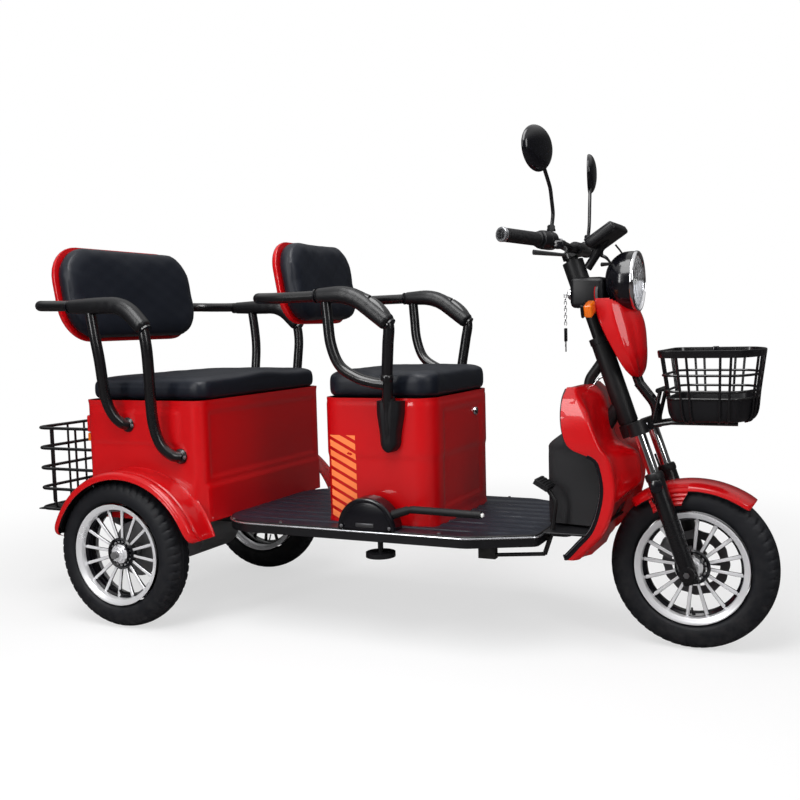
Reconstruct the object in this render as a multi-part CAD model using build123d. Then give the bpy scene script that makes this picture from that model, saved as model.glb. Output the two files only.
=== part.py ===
from build123d import *
import math
import os

# Open electric passenger tricycle, modelled in millimetres.
# +Z is up, the nose points to -Y, and +X is the rider's left.
# Places are worked out from a datum under the rear axle's station, and
# the whole vehicle is centred on its own box at the end.

# Driving sizes -------------------------------------------------------------
wheelbase = 1493
rear_track = 680
rear_axle_y = 680

tyre_radius = 205
tyre_width = 84
rim_radius = 140
rim_width = 78
rim_wall = 5
bead_seat_radius = 127
hub_radius = 34
spoke_count = 16
spoke_width = 7
axle_radius = 10
axle_fit = 0.05
seat_gap = 0.3

rake = 19
fork_offset = 36
fork_drop = 487
fork_half_spacing = 78
slider_radius = 21
slider_length = 262
stanchion_radius = 14
head_tube_radius = 25
head_tube_low = -100
head_tube_high = 110
steerer_radius = 16
steerer_fit = 0.05

deck_top = 300
deck_depth = 30
deck_plate = 6
deck_wall = 4
deck_half_width = 270
deck_front_half_width = 195
rail_radius = 14
rail_half_spacing = 150
cross_member_radius = 12

front_box_half_width = 205
front_box_front = -200
front_box_back = 118
front_box_top = 630
front_box_corner = 50
box_wall = 4

rear_box_half_width = 308
rear_box_front = 430
rear_box_back = 830
rear_box_top = 625
rear_box_corner = 30
arch_clearance = 20
arch_side_gap = 13

cushion_gap = 0.6
front_cushion_height = 60
rear_cushion_height = 52
lid_panel = 5
cushion_side_inset = 4

front_armrest_half_span = 258
rear_armrest_half_span = 376
armrest_tube = 28
front_back_half_width = 174
front_back_height = 232
front_back_low = 830
front_back_face = 206
rear_back_half_width = 277
rear_back_height = 290
rear_back_low = 790
rear_back_face = 886
back_pad_depth = 48
back_shell_depth = 20

front_basket_half_width = 140
front_basket_back = 66
front_basket_floor = 570
front_basket_rim = 742
rear_basket_half_width = 200
rear_basket_reach = 1143
wire = 7

# Worked-out places -----------------------------------------------------------
front_axle_y = rear_axle_y - wheelbase
axle_z = tyre_radius
lean = math.radians(rake)
head_y = front_axle_y + fork_offset * math.cos(lean) + fork_drop * math.sin(lean)
head_z = axle_z - fork_offset * math.sin(lean) + fork_drop * math.cos(lean)
wheel_x = rear_track / 2
rail_z = deck_top - deck_plate - rail_radius
deck_front = front_axle_y + 340
lower_clamp_top = head_tube_low - 4
lower_clamp_height = 32
clamp_low = lower_clamp_top - lower_clamp_height
slider_top = -fork_drop + slider_length - 20

parts = {}


def on_head(shape):
    """Move a shape from the steering head's own frame into the vehicle."""
    return Location((0, head_y, head_z), (-rake, 0, 0)) * shape


def head_point(x, y, z):
    """A point of the steering head's frame, in the vehicle's frame."""
    return (
        x,
        head_y + y * math.cos(lean) + z * math.sin(lean),
        head_z - y * math.sin(lean) + z * math.cos(lean),
    )


def pipe(points, diameter, bend=None):
    """Round bar along straight runs joined by tangent arcs."""
    if len(points) == 2:
        path = Line(*points)
    else:
        path = FilletPolyline(*points, radius=bend)
    ring = Plane(origin=path @ 0, z_dir=path % 0) * Circle(diameter / 2)
    return sweep(ring, path=path)


def rod_x(y, z, x_low, x_high, radius):
    """Round bar along X."""
    bar = extrude(Plane.YZ * Pos(y, z) * Circle(radius), x_high - x_low)
    return Pos(x_low, 0, 0) * bar


def rod_y(x, z, y_low, y_high, radius):
    """Round bar along Y."""
    bar = extrude(Plane.XZ * Pos(x, z) * Circle(radius), y_low - y_high)
    return Pos(0, y_low, 0) * bar


def rod_z(x, y, z_low, z_high, radius):
    """Round bar along Z."""
    return Pos(x, y, z_low) * extrude(Circle(radius), z_high - z_low)


def block(x_low, x_high, y_low, y_high, z_low, z_high):
    """Box from its two corners."""
    size = (x_high - x_low, y_high - y_low, z_high - z_low)
    middle = ((x_low + x_high) / 2, (y_low + y_high) / 2, (z_low + z_high) / 2)
    return Pos(*middle) * Box(*size)


def round_block(x_low, x_high, y_low, y_high, z_low, z_high, corner):
    """Box with rounded upright corners."""
    plan = Pos((x_low + x_high) / 2, (y_low + y_high) / 2) * RectangleRounded(
        x_high - x_low, y_high - y_low, corner
    )
    return Pos(0, 0, z_low) * extrude(plan, z_high - z_low)


def both_sides(shape):
    """A shape and its mirror across the vehicle's middle plane."""
    return shape + mirror(shape, about=Plane.YZ)


def bowed_front(half_width, y_middle, y_quarter, y_side):
    """Smooth curve across the nose through five points."""
    quarter = half_width * 0.46
    return Spline(
        (-half_width, y_side),
        (-quarter, y_quarter),
        (0, y_middle),
        (quarter, y_quarter),
        (half_width, y_side),
    )


def bowed_section(z, half_width, y_middle, y_quarter, y_side, y_back):
    """Level outline with a bowed front and a straight back."""
    front = bowed_front(half_width, y_middle, y_quarter, y_side)
    rest = Polyline(
        (half_width, y_side), (half_width, y_back), (-half_width, y_back), (-half_width, y_side)
    )
    return Pos(0, 0, z) * make_face(front + rest)


def bowed_band(z, wall, half_width, y_middle, y_quarter, y_side, y_back):
    """Level outline of a thin cover that is open at its back."""
    inner_width = half_width - wall
    outer = bowed_front(half_width, y_middle, y_quarter, y_side)
    inner = bowed_front(inner_width, y_middle + wall, y_quarter + wall, y_side + wall)
    right = Polyline(
        (half_width, y_side), (half_width, y_back), (inner_width, y_back), (inner_width, y_side + wall)
    )
    left = Polyline(
        (-inner_width, y_side + wall), (-inner_width, y_back), (-half_width, y_back), (-half_width, y_side)
    )
    return Pos(0, 0, z) * make_face(outer + right + inner + left)


def bowed_cover(levels, wall, closed_top):
    """Thin cover lofted through bowed levels, open at its back."""
    cover = loft([bowed_band(z, wall, *rest) for z, *rest in levels], ruled=True)
    if closed_top:
        z, *rest = levels[-1]
        cover += Pos(0, 0, -wall) * extrude(bowed_section(z, *rest), wall)
    return cover


# Wheels ------------------------------------------------------------------------
def tyre(x_middle, y):
    """Ring with a rounded tread, seated between the rim's flanges."""
    seat = bead_seat_radius + seat_gap
    bead = rim_width / 2 - rim_wall - seat_gap
    side = tyre_width / 2
    shoulder = tyre_radius - 30
    profile = Polyline((-bead, seat), (bead, seat), (bead, rim_radius + 3))
    right = ThreePointArc((bead, rim_radius + 3), (side, (rim_radius + shoulder) / 2 + 4), (side - 4, shoulder))
    crown = ThreePointArc((side - 4, shoulder), (0, tyre_radius), (4 - side, shoulder))
    left = ThreePointArc((4 - side, shoulder), (-side, (rim_radius + shoulder) / 2 + 4), (-bead, rim_radius + 3))
    close = Line((-bead, rim_radius + 3), (-bead, seat))
    ring = revolve(Plane.XY * make_face(profile + right + crown + left + close), Axis.X)
    return Pos(x_middle, y, axle_z) * ring


def rim(x_middle, y, hub_half_width):
    """Cast wheel: flanged barrel, hub with a running bore, thin spokes."""
    half = rim_width / 2
    outline = Polyline(
        (-half, bead_seat_radius - 8),
        (half, bead_seat_radius - 8),
        (half, rim_radius),
        (half - rim_wall, rim_radius),
        (half - rim_wall, bead_seat_radius),
        (-half + rim_wall, bead_seat_radius),
        (-half + rim_wall, rim_radius),
        (-half, rim_radius),
        close=True,
    )
    wheel = revolve(make_face(outline), Axis.X)
    wheel += rod_x(0, 0, -hub_half_width, hub_half_width, hub_radius)
    spoke_length = bead_seat_radius - hub_radius - 4
    spoke = Pos(0, 0, hub_radius + spoke_length / 2 - 2) * Box(26, spoke_width, spoke_length)
    for number in range(spoke_count):
        wheel += Rot(number * 360 / spoke_count, 0, 0) * spoke
    wheel -= rod_x(0, 0, -rim_width, rim_width, axle_radius + axle_fit)
    return Pos(x_middle, y, axle_z) * wheel


front_hub_half_width = 36
rear_hub_half_width = 40
parts["front_tyre"] = tyre(0, front_axle_y)
parts["front_rim"] = rim(0, front_axle_y, front_hub_half_width)
for side, sign in (("left", 1), ("right", -1)):
    parts["rear_tyre_" + side] = tyre(sign * wheel_x, rear_axle_y)
    parts["rear_rim_" + side] = rim(sign * wheel_x, rear_axle_y, rear_hub_half_width)


# Frame and axle ------------------------------------------------------------------
down_tube = 36
down_path = [
    head_point(0, 3, -48),
    (0, front_axle_y + 262, 480),
    (0, front_axle_y + 280, 370),
    (0, front_axle_y + 300, rail_z - 8),
    (0, deck_front + 120, rail_z - 8),
]
brace_tube = 26
brace_path = [
    head_point(0, 4, 72),
    (0, front_axle_y + 262, head_z + 10),
    (0, front_axle_y + 258, head_z - 60),
    (0, front_axle_y + 278, head_z - 200),
]


def main_frame():
    """Head tube, down tube, two floor rails and their cross members."""
    head = on_head(rod_z(0, 0, head_tube_low, head_tube_high, head_tube_radius))
    frame = head + pipe(down_path, down_tube, 40) + pipe(brace_path, brace_tube, 40)
    rail_front = deck_front + 30
    rails = [
        (rail_half_spacing, rail_front, rail_z),
        (rail_half_spacing, rear_box_back - 6, rail_z),
    ]
    frame += both_sides(pipe(rails, 2 * rail_radius))
    for y in (rail_front, front_box_front, front_box_back, rear_box_front + 20, rear_box_back - 30):
        frame += rod_x(y, rail_z, -rail_half_spacing, rail_half_spacing, cross_member_radius)
    bore = on_head(rod_z(0, 0, head_tube_low - 40, head_tube_high + 40, steerer_radius + steerer_fit))
    return frame - bore


parts["main_frame"] = main_frame()

spring_x = 200
axle_tube_radius = 26
spring_leaf = 14
axle_tube_end = wheel_x - rear_hub_half_width - 18


def rear_axle():
    """Axle tube with brake backing plates and a stub shaft for each wheel."""
    axle = rod_x(rear_axle_y, axle_z, -axle_tube_end, axle_tube_end, axle_tube_radius)
    for sign in (-1, 1):
        plate_in = sign * (axle_tube_end - 2)
        plate_out = sign * (axle_tube_end + 8)
        low, high = sorted((plate_in, plate_out))
        axle += rod_x(rear_axle_y, axle_z, low, high, 78)
        stub_end = sign * (wheel_x + rear_hub_half_width + 6)
        low, high = sorted((plate_in, stub_end))
        axle += rod_x(rear_axle_y, axle_z, low, high, axle_radius)
    return axle


motor_radius = 74
motor_half_length = 88
parts["rear_axle"] = rear_axle() - rod_x(
    rear_axle_y, axle_z, -motor_half_length - 1, motor_half_length + 1, motor_radius
)
parts["drive_motor"] = rod_x(
    rear_axle_y, axle_z, -motor_half_length - 1, motor_half_length + 1, motor_radius - 2
)


def leaf_spring(x):
    """Shallow bowed leaf on the axle with its two hanger blocks."""
    middle_z = axle_z + axle_tube_radius + spring_leaf / 2
    end_z = middle_z + 26
    reach = 148
    low = ThreePointArc(
        (rear_axle_y - reach, end_z - spring_leaf / 2),
        (rear_axle_y, middle_z - spring_leaf / 2),
        (rear_axle_y + reach, end_z - spring_leaf / 2),
    )
    high = ThreePointArc(
        (rear_axle_y - reach, end_z + spring_leaf / 2),
        (rear_axle_y, middle_z + spring_leaf / 2),
        (rear_axle_y + reach, end_z + spring_leaf / 2),
    )
    ends = Line(low @ 0, high @ 0) + Line(low @ 1, high @ 1)
    leaf = extrude(Plane.YZ * make_face(low + high + ends), 44)
    spring = Pos(x - 22, 0, 0) * leaf
    for y in (rear_axle_y - reach + 14, rear_axle_y + reach - 14):
        spring += block(x - 26, x + 26, y - 12, y + 12, end_z - 4, deck_top - deck_plate - seat_gap)
    return spring


parts["leaf_springs"] = leaf_spring(-spring_x) + leaf_spring(spring_x)


# Floor -----------------------------------------------------------------------------
def deck():
    """Pressed floor pan: a top plate with a turned-down edge."""
    taper = front_axle_y + 500
    back = rear_box_front - seat_gap
    outline = [
        (-deck_front_half_width, deck_front),
        (-deck_half_width, taper),
        (-deck_half_width, back),
        (deck_half_width, back),
        (deck_half_width, taper),
        (deck_front_half_width, deck_front),
    ]
    plan = make_face(Polyline(*outline, close=True))
    rounded = fillet(plan.vertices(), 45)
    pan = extrude(rounded, deck_depth)
    hollow = extrude(offset(rounded, amount=-deck_wall), deck_depth - deck_plate)
    pan = Pos(0, 0, deck_top - deck_depth) * (pan - hollow)
    slots = rod_x(0, 0, -1, 1, 1)
    for sign in (-1, 1):
        slots += rod_y(sign * rail_half_spacing, rail_z, deck_front - 50, back + 50, rail_radius + 1)
    slots += rod_y(0, rail_z - 8, deck_front - 50, deck_front + 60, down_tube / 2 + 2)
    return pan - slots


parts["deck"] = deck()

# Leg shield: each level's height and half width, then how far behind the front
# axle its middle, its quarter, its side and its back edge stand.
shield_levels = [
    (232, 165, 232, 236, 270, 288),
    (270, 182, 192, 200, 228, 250),
    (320, 192, 165, 180, 182, 206),
    (400, 197, 130, 178, 158, 184),
    (470, 196, 128, 182, 163, 188),
    (490, 194, 134, 186, 172, 198),
    (514, 193, 198, 214, 188, 214),
    (580, 184, 205, 222, 222, 272),
    (625, 160, 222, 232, 246, 280),
    (655, 118, 246, 252, 262, 280),
]
shield_wall = 4
shield_arch_radius = tyre_radius + 34
shield_arch_half_width = 152
hump_half_width = 92
hump_top = 556
hump_back = front_axle_y + 352
liner_wall = 4


def wheel_arch(grow):
    reach = shield_arch_half_width + grow
    return rod_x(front_axle_y, axle_z, -reach, reach, shield_arch_radius + grow)


def leg_shield():
    """Red front cover with the wheel arch and the brace tube's opening."""
    levels = [(z, w, *(front_axle_y + reach for reach in rest)) for z, w, *rest in shield_levels]
    cover = bowed_cover(levels, shield_wall, True) - wheel_arch(0)
    cover -= pipe(brace_path, brace_tube + 4, 40) + pipe(down_path, down_tube + 4, 40)
    return cover - on_head(rod_z(0, 0, head_tube_low - 2, head_tube_high, head_tube_radius + 5))


def leg_shield_liner():
    """Black inner panel: sheet, middle hump, toe board and wheel arch panel."""
    sections = []
    for z, half_width, *_, back in shield_levels:
        y_front = front_axle_y + back + seat_gap
        plate = Pos(0, y_front + liner_wall / 2) * Rectangle(2 * half_width, liner_wall)
        sections.append(Pos(0, 0, z) * plate)
    sheet = loft(sections, ruled=True)
    toe = block(
        -deck_front_half_width + 18, deck_front_half_width - 18,
        front_axle_y + 210, deck_front - seat_gap, deck_top - deck_plate, deck_top,
    )
    sheet_front = front_axle_y + 180
    hump = round_block(
        -hump_half_width, hump_half_width, sheet_front, hump_back, deck_top, hump_top, 30
    )
    hollow = round_block(
        -hump_half_width + liner_wall, hump_half_width - liner_wall,
        sheet_front - 40, hump_back - liner_wall, deck_top - deck_plate - 1, hump_top - liner_wall, 26,
    )
    behind_sheet = loft([
        Pos(0, 0, z) * Pos(0, front_axle_y + back + seat_gap + 150) * Rectangle(600, 300)
        for z, _, *_, back in shield_levels
    ], ruled=True)
    hump = hump & behind_sheet
    inside = loft([
        bowed_section(
            z, half_width - shield_wall - seat_gap,
            *(front_axle_y + front + shield_wall + seat_gap for front in fronts),
            front_axle_y + back + 40,
        )
        for z, half_width, *fronts, back in shield_levels[:5]
    ], ruled=True)
    arch = (wheel_arch(liner_wall + 1) - wheel_arch(1)) & inside
    arch -= behind_sheet
    panel = sheet + toe + hump - hollow - wheel_arch(1) + arch
    return panel - pipe(down_path, down_tube + 4, 40) - pipe(brace_path, brace_tube + 4, 40)


parts["leg_shield"] = leg_shield()
liner_pieces = leg_shield_liner() - parts["leg_shield"]
parts["leg_shield_liner"] = liner_pieces.solids().sort_by(SortBy.VOLUME)[-1]


# Seats ---------------------------------------------------------------------------------
def seat_box(half_width, front, back, top, floor_z, corner):
    """Thin-walled storage box, open at its top."""
    outer = round_block(-half_width, half_width, front, back, floor_z, top, corner)
    inner = round_block(
        -half_width + box_wall, half_width - box_wall,
        front + box_wall, back - box_wall, floor_z + box_wall, top + 1, corner - box_wall,
    )
    return outer - inner


parts["front_seat_box"] = seat_box(
    front_box_half_width, front_box_front, front_box_back, front_box_top, deck_top, front_box_corner
)

battery_half_width = 190
battery_top = 452


def rear_seat_box():
    """Storage box with an arch over each rear wheel."""
    floor_z = deck_top - deck_plate
    arch_radius = tyre_radius + arch_clearance
    arch_in = wheel_x - tyre_width / 2 - arch_side_gap
    outer = round_block(
        -rear_box_half_width, rear_box_half_width,
        rear_box_front, rear_box_back, floor_z, rear_box_top, rear_box_corner,
    )
    inner = round_block(
        -rear_box_half_width + box_wall, rear_box_half_width - box_wall,
        rear_box_front + box_wall, rear_box_back - box_wall,
        floor_z + box_wall, rear_box_top + 1, rear_box_corner - box_wall,
    )
    for sign in (-1, 1):
        low, high = sorted((sign * arch_in, sign * 500))
        outer -= rod_x(rear_axle_y, axle_z, low, high, arch_radius)
        low, high = sorted((sign * (arch_in - box_wall), sign * 500))
        inner -= rod_x(rear_axle_y, axle_z, low, high, arch_radius + box_wall)
    return outer - inner


parts["rear_seat_box"] = rear_seat_box()
battery_floor = deck_top - deck_plate + box_wall
parts["battery_pack"] = block(
    -battery_half_width, battery_half_width,
    rear_box_front + box_wall + 12, rear_box_back - box_wall - 60, battery_floor, battery_top,
)


def seat_pad(half_width, front, back, top, height, corner):
    """Cushion on a flat pan, softly rounded at its upper edge."""
    low = top + cushion_gap
    pan = round_block(-half_width + 6, half_width - 6, front + 6, back - 2, low, low + lid_panel, corner - 6)
    pad = round_block(-half_width, half_width, front, back, low + lid_panel, low + lid_panel + height, corner)
    pad = fillet(pad.faces().sort_by(Axis.Z)[-1].edges(), 14)
    return pan + pad


parts["front_seat"] = seat_pad(
    front_box_half_width + cushion_side_inset, front_box_front - 10, front_box_back + 4,
    front_box_top, front_cushion_height, front_box_corner,
)
parts["rear_seat"] = seat_pad(
    rear_box_half_width - cushion_side_inset, rear_box_front - 12, rear_box_back + 4,
    rear_box_top, rear_cushion_height, 40,
)


def back_pad(half_width, low_z, height, face_y, depth, corner):
    """Upright pad panel, before it is leaned back."""
    panel = RectangleRounded(2 * half_width, height, corner)
    pad = extrude(Plane.XZ * Pos(0, low_z + height / 2) * panel, -depth)
    return Pos(0, face_y, 0) * pad


back_lean = 10


def leaned(shape, face_y, low_z, height):
    """Lean a backrest piece rearwards about the middle of its face."""
    centre = Pos(0, face_y, low_z + height / 2)
    return centre * Rot(-back_lean, 0, 0) * centre.inverse() * shape


def backrest(half_width, low_z, height, face_y, corner):
    """Soft pad and the thin shell behind it, both leaned back."""
    pad = back_pad(half_width, low_z, height, face_y, back_pad_depth, corner)
    pad = fillet(pad.faces().sort_by(Axis.Y)[0].edges(), 16)
    shell_face = face_y + back_pad_depth + seat_gap
    shell = back_pad(half_width - 3, low_z + 3, height - 6, shell_face, back_shell_depth, corner - 3)
    shell = fillet(shell.faces().sort_by(Axis.Y)[-1].edges(), 12)
    turned = [leaned(piece, face_y, low_z, height) for piece in (pad, shell)]
    return turned


rest_tube_rise = 42


def loop_y(face_y, height):
    """Station of the armrest loop's cross tube behind a leaned backrest."""
    lean_back = math.radians(back_lean)
    thickness = back_pad_depth + seat_gap + back_shell_depth
    drop = height / 2 - rest_tube_rise
    return face_y + thickness / math.cos(lean_back) - drop * math.tan(lean_back) + armrest_tube / 2 + 12


def with_bosses(shell, cross_y, cross_z, spread):
    """Two mounting bosses from the shell back to the cross tube."""
    for sign in (-1, 1):
        x = sign * spread
        shell += rod_y(x, cross_z, cross_y - armrest_tube / 2 - 24, cross_y - armrest_tube / 2 - seat_gap, 13)
    return shell


front_loop_z = front_back_low + rest_tube_rise
front_loop_y = loop_y(front_back_face, front_back_height)
rear_loop_z = rear_back_low + rest_tube_rise + 26
rear_loop_y = loop_y(rear_back_face, rear_back_height) + 3

pad, shell = backrest(front_back_half_width, front_back_low, front_back_height, front_back_face, 78)
parts["front_backrest_pad"] = pad
parts["front_backrest_shell"] = with_bosses(shell, front_loop_y, front_loop_z, 70)
pad, shell = backrest(rear_back_half_width, rear_back_low, rear_back_height, rear_back_face, 92)
parts["rear_backrest_pad"] = pad
parts["rear_backrest_shell"] = with_bosses(shell, rear_loop_y, rear_loop_z, 120)

# Armrests -------------------------------------------------------------------------------
post_x = front_box_half_width + 23
front_post_y = front_box_front + 105
front_arm_z = front_box_top + 263
front_arm_points = [
    (post_x, front_post_y, front_box_top - 128),
    (post_x + 16, front_post_y - 4, front_box_top + 40),
    (front_armrest_half_span, front_post_y - 20, front_arm_z - 86),
    (front_armrest_half_span, front_post_y + 78, front_arm_z),
    (front_armrest_half_span, front_post_y + 260, front_arm_z - 4),
    (front_armrest_half_span - 4, front_loop_y, front_loop_z),
]
front_arm_bends = [120, 40, 70, 90, 60]
front_rear_post = [
    (front_armrest_half_span, front_post_y + 150, front_arm_z - 1),
    (front_armrest_half_span - 2, front_post_y + 150, front_box_top + 110),
    (post_x + 20, front_post_y + 90, front_box_top + 62),
    (post_x + 17, front_post_y + 2, front_box_top + 40),
]
rear_post_x = rear_box_half_width + armrest_tube / 2 + 4
rear_arm_z = rear_box_top + 258
rear_arm_points = [
    (rear_post_x, rear_box_front + 72, rear_box_top - 152),
    (rear_post_x + 20, rear_box_front + 84, rear_box_top - 20),
    (rear_armrest_half_span, rear_box_front + 108, rear_box_top + 185),
    (rear_armrest_half_span, rear_box_front + 180, rear_arm_z),
    (rear_armrest_half_span, rear_box_front + 400, rear_arm_z),
    (rear_armrest_half_span - 26, rear_loop_y, rear_loop_z),
]
rear_arm_bends = [120, 60, 70, 110, 70]
rear_rear_post = [
    (rear_armrest_half_span, rear_box_front + 300, rear_arm_z),
    (rear_armrest_half_span - 6, rear_box_front + 288, rear_box_top + 120),
    (rear_post_x + 6, rear_box_front + 262, rear_box_top - 20),
    (rear_post_x, rear_box_front + 254, rear_box_top - 72),
]


def mirrored(points):
    return [(-x, y, z) for x, y, z in reversed(points)]


def arm_loop(points, bends, post, post_bends, tube):
    """One bent tube round both sides, with a second post on each side."""
    whole = points + mirrored(points)
    loop = pipe(whole, tube, bends + bends[::-1])
    return loop + both_sides(pipe(post, tube, post_bends))


def rear_feet():
    """Flanges that hold the rear posts to the box sides."""
    feet = []
    for point in (rear_arm_points[0], rear_rear_post[-1]):
        x, y, z = point
        feet.append(block(rear_box_half_width + seat_gap, x, y - 18, y + 18, z - 14, z + 24))
    return both_sides(feet[0] + feet[1])


def arm_pad(points, bend, tube):
    """Soft grip moulded round the tube's upper run."""
    return both_sides(pipe(points, tube + 20, bend))


front_arms = (front_arm_points, front_arm_bends, front_rear_post, [50, 36])
rear_arms = (rear_arm_points, rear_arm_bends, rear_rear_post, [90, 60])
parts["front_armrest_frame"] = arm_loop(*front_arms, armrest_tube)
parts["rear_armrest_frame"] = arm_loop(*rear_arms, armrest_tube) + rear_feet()
pad_line = [
    (front_armrest_half_span, front_post_y - 24, front_arm_z - 76),
    (front_armrest_half_span, front_post_y + 78, front_arm_z + 3),
    (front_armrest_half_span, front_post_y + 185, front_arm_z + 1),
]
parts["front_armrest_pads"] = arm_pad(pad_line, 70, armrest_tube) - arm_loop(*front_arms, armrest_tube + 0.6)
pad_line = [
    (rear_armrest_half_span, rear_box_front + 112, rear_box_top + 192),
    (rear_armrest_half_span, rear_box_front + 180, rear_arm_z + 2),
    (rear_armrest_half_span, rear_box_front + 370, rear_arm_z + 2),
]
parts["rear_armrest_pads"] = arm_pad(pad_line, 70, armrest_tube) - arm_loop(*rear_arms, armrest_tube + 0.6)

socket_depth = 42


def armrest_socket():
    """Moulded cup on the box side that takes the front armrest's post."""
    low_z = front_box_top - 138
    high_z = front_box_top - 5
    half = 37
    profile = Pos(front_post_y, (low_z + half + high_z) / 2) * Rectangle(
        2 * half, high_z - low_z - half
    ) + Pos(front_post_y, low_z + half) * Circle(half)
    cup = extrude(Plane.YZ * profile, socket_depth)
    cup = Pos(front_box_half_width + seat_gap, 0, 0) * cup
    return cup - pipe(front_arm_points[:3], armrest_tube + 0.6, 120)


parts["armrest_sockets"] = both_sides(armrest_socket())


# Rear body ---------------------------------------------------------------------------------
fender_wall = 3
fender_out = wheel_x + tyre_width / 2 + 18
fender_lip = 18


def fender_arc(inset):
    """Front tip, crown and rear tip of the flare over a rear wheel."""
    return ThreePointArc(
        (rear_axle_y - 279 + inset, axle_z + 56 - inset * 0.4),
        (rear_axle_y - 25, axle_z + 235 - inset),
        (rear_axle_y + 214 - inset, axle_z + 45 - inset * 0.4),
    )


def fender_face(inset, depth):
    outer = fender_arc(inset)
    inner = fender_arc(inset + depth)
    ends = Line(outer @ 0, inner @ 0) + Line(outer @ 1, inner @ 1)
    return make_face(outer + inner + ends)


def rear_fender():
    """Flared band over one wheel with a turned-down outer lip."""
    inner_x = rear_box_half_width + seat_gap
    band = extrude(Plane.YZ * fender_face(0, fender_wall), fender_out - inner_x)
    lip = extrude(Plane.YZ * fender_face(0, fender_lip), fender_wall)
    return Pos(inner_x, 0, 0) * band + Pos(fender_out - fender_wall, 0, 0) * lip


parts["rear_fenders"] = both_sides(rear_fender())


def rear_basket():
    """Wire hoops, uprights and a shallow floor tray behind the seat box."""
    half = rear_basket_half_width
    start = rear_box_back + seat_gap
    low_z = 274
    levels = [low_z + 4 + step * 62 for step in range(5)]
    end = rear_basket_reach - wire / 2
    basket = block(-half - 3, half + 3, start + 20, end + 3, low_z, low_z + 4)
    for z in levels:
        hoop = [(-half, start, z), (-half, end, z), (half, end, z), (half, start, z)]
        basket += pipe(hoop, wire, 50)
    for x in (-140, -70, 0, 70, 140):
        basket += rod_z(x, end, low_z + 2, levels[-1], wire / 2)
    for y in (start + 60, start + 150, start + 240):
        for sign in (-1, 1):
            basket += rod_z(sign * half, y, low_z + 2, levels[-1], wire / 2)
    return basket


parts["rear_basket"] = rear_basket()


def tail_lamp(x):
    lamp = round_block(x - 22, x + 22, rear_box_back + seat_gap, rear_box_back + 26, 500, 580, 8)
    return lamp


parts["tail_lamps"] = both_sides(tail_lamp(rear_box_half_width - 50))

# Foot and hand brakes, horn -------------------------------------------------------------------
pedal_x = -122
pedal_y = front_axle_y + 326


def brake_pedal():
    """Pedal arm through the toe board, with its rod back under the floor."""
    x, y = pedal_x, pedal_y
    arm = pipe(
        [(x, y + 20, rail_z - 44), (x, y, deck_top - 6), (x, y - 10, deck_top + 70), (x, y + 16, deck_top + 110)],
        12,
        [40, 30],
    )
    pad = Pos(x, y + 20, deck_top + 112) * Rot(30, 0, 0) * Box(58, 40, 10)
    rod = pipe([(x, y + 20, rail_z - 44), (x, y + 190, rail_z - 60)], 10)
    bracket = block(x - 10, x + 10, y + 150, y + 196, rail_z - 66, deck_top - deck_plate - seat_gap)
    return arm + pad + rod + bracket


parts["foot_brake"] = brake_pedal()
parts["leg_shield_liner"] -= rod_z(pedal_x, pedal_y, 200, deck_top + 20, 9)
parts["deck"] -= rod_z(pedal_x, pedal_y, 200, deck_top + 20, 9)


def hand_brake():
    """Half-round housing on the floor's edge with a lever along it."""
    middle_y = front_box_front + 159
    radius = 82
    inner_x = front_box_half_width + 22
    profile = Pos(middle_y, deck_top) * Circle(radius)
    profile -= Pos(middle_y, deck_top - radius) * Rectangle(3 * radius, 2 * radius)
    shell = extrude(Plane.YZ * profile, 46)
    housing = Pos(inner_x, 0, 0) * shell
    lever = pipe(
        [
            (inner_x + 23, middle_y - 40, deck_top + 30),
            (inner_x + 27, middle_y - 120, deck_top + 56),
            (inner_x + 28, middle_y - 312, deck_top + 53),
        ],
        20,
        60,
    )
    return mirror(housing + lever, about=Plane.YZ)


parts["hand_brake"] = hand_brake()


horn_radius = 38
horn_depth = 12
horn_drop = 52
horn_stud_radius = 7
horn_edge_inset = 30
horn_station = front_box_front + 134


def horn():
    """Flat disc horn hung on a stud below the floor's edge."""
    x = -deck_half_width + horn_edge_inset
    low = deck_top - deck_depth / 2 - horn_drop
    disc = rod_z(x, horn_station, low - horn_depth / 2, low + horn_depth / 2, horn_radius)
    stud = rod_z(x, horn_station, low, deck_top - deck_plate - seat_gap, horn_stud_radius)
    return disc + stud


parts["horn"] = horn()

# Steering head, fork and mudguard -----------------------------------------------------------
stem_top = 338
leg_y = -fork_offset
stanchion_top = lower_clamp_top - 6
slider_bore = stanchion_radius + seat_gap


def steering_stem():
    """Steerer through the head tube, lower clamp, upper collar and stem cover."""
    stem = rod_z(0, 0, clamp_low, stem_top, steerer_radius)
    stem += rod_z(0, 0, lower_clamp_top - 1, head_tube_low - seat_gap, head_tube_radius - 2)
    stem += rod_z(0, 0, head_tube_high + seat_gap, head_tube_high + 16, head_tube_radius + 2)
    stem += rod_z(0, 0, 214, stem_top - 8, 27)
    plate = block(-fork_half_spacing, fork_half_spacing, leg_y - 16, leg_y + 14, clamp_low, lower_clamp_top)
    plate += block(-24, 24, leg_y, 10, clamp_low, lower_clamp_top)
    plate += rod_z(0, 0, clamp_low, lower_clamp_top, 27)
    for sign in (-1, 1):
        plate += rod_z(sign * fork_half_spacing, leg_y, clamp_low, lower_clamp_top, 24)
    for sign in (-1, 1):
        plate -= rod_z(sign * fork_half_spacing, leg_y, clamp_low - 1, stanchion_top + seat_gap, slider_bore)
    return on_head(stem + plate)


def fork_stanchions():
    legs = rod_z(fork_half_spacing, leg_y, -fork_drop + 90, stanchion_top, stanchion_radius)
    return on_head(both_sides(legs))


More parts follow.
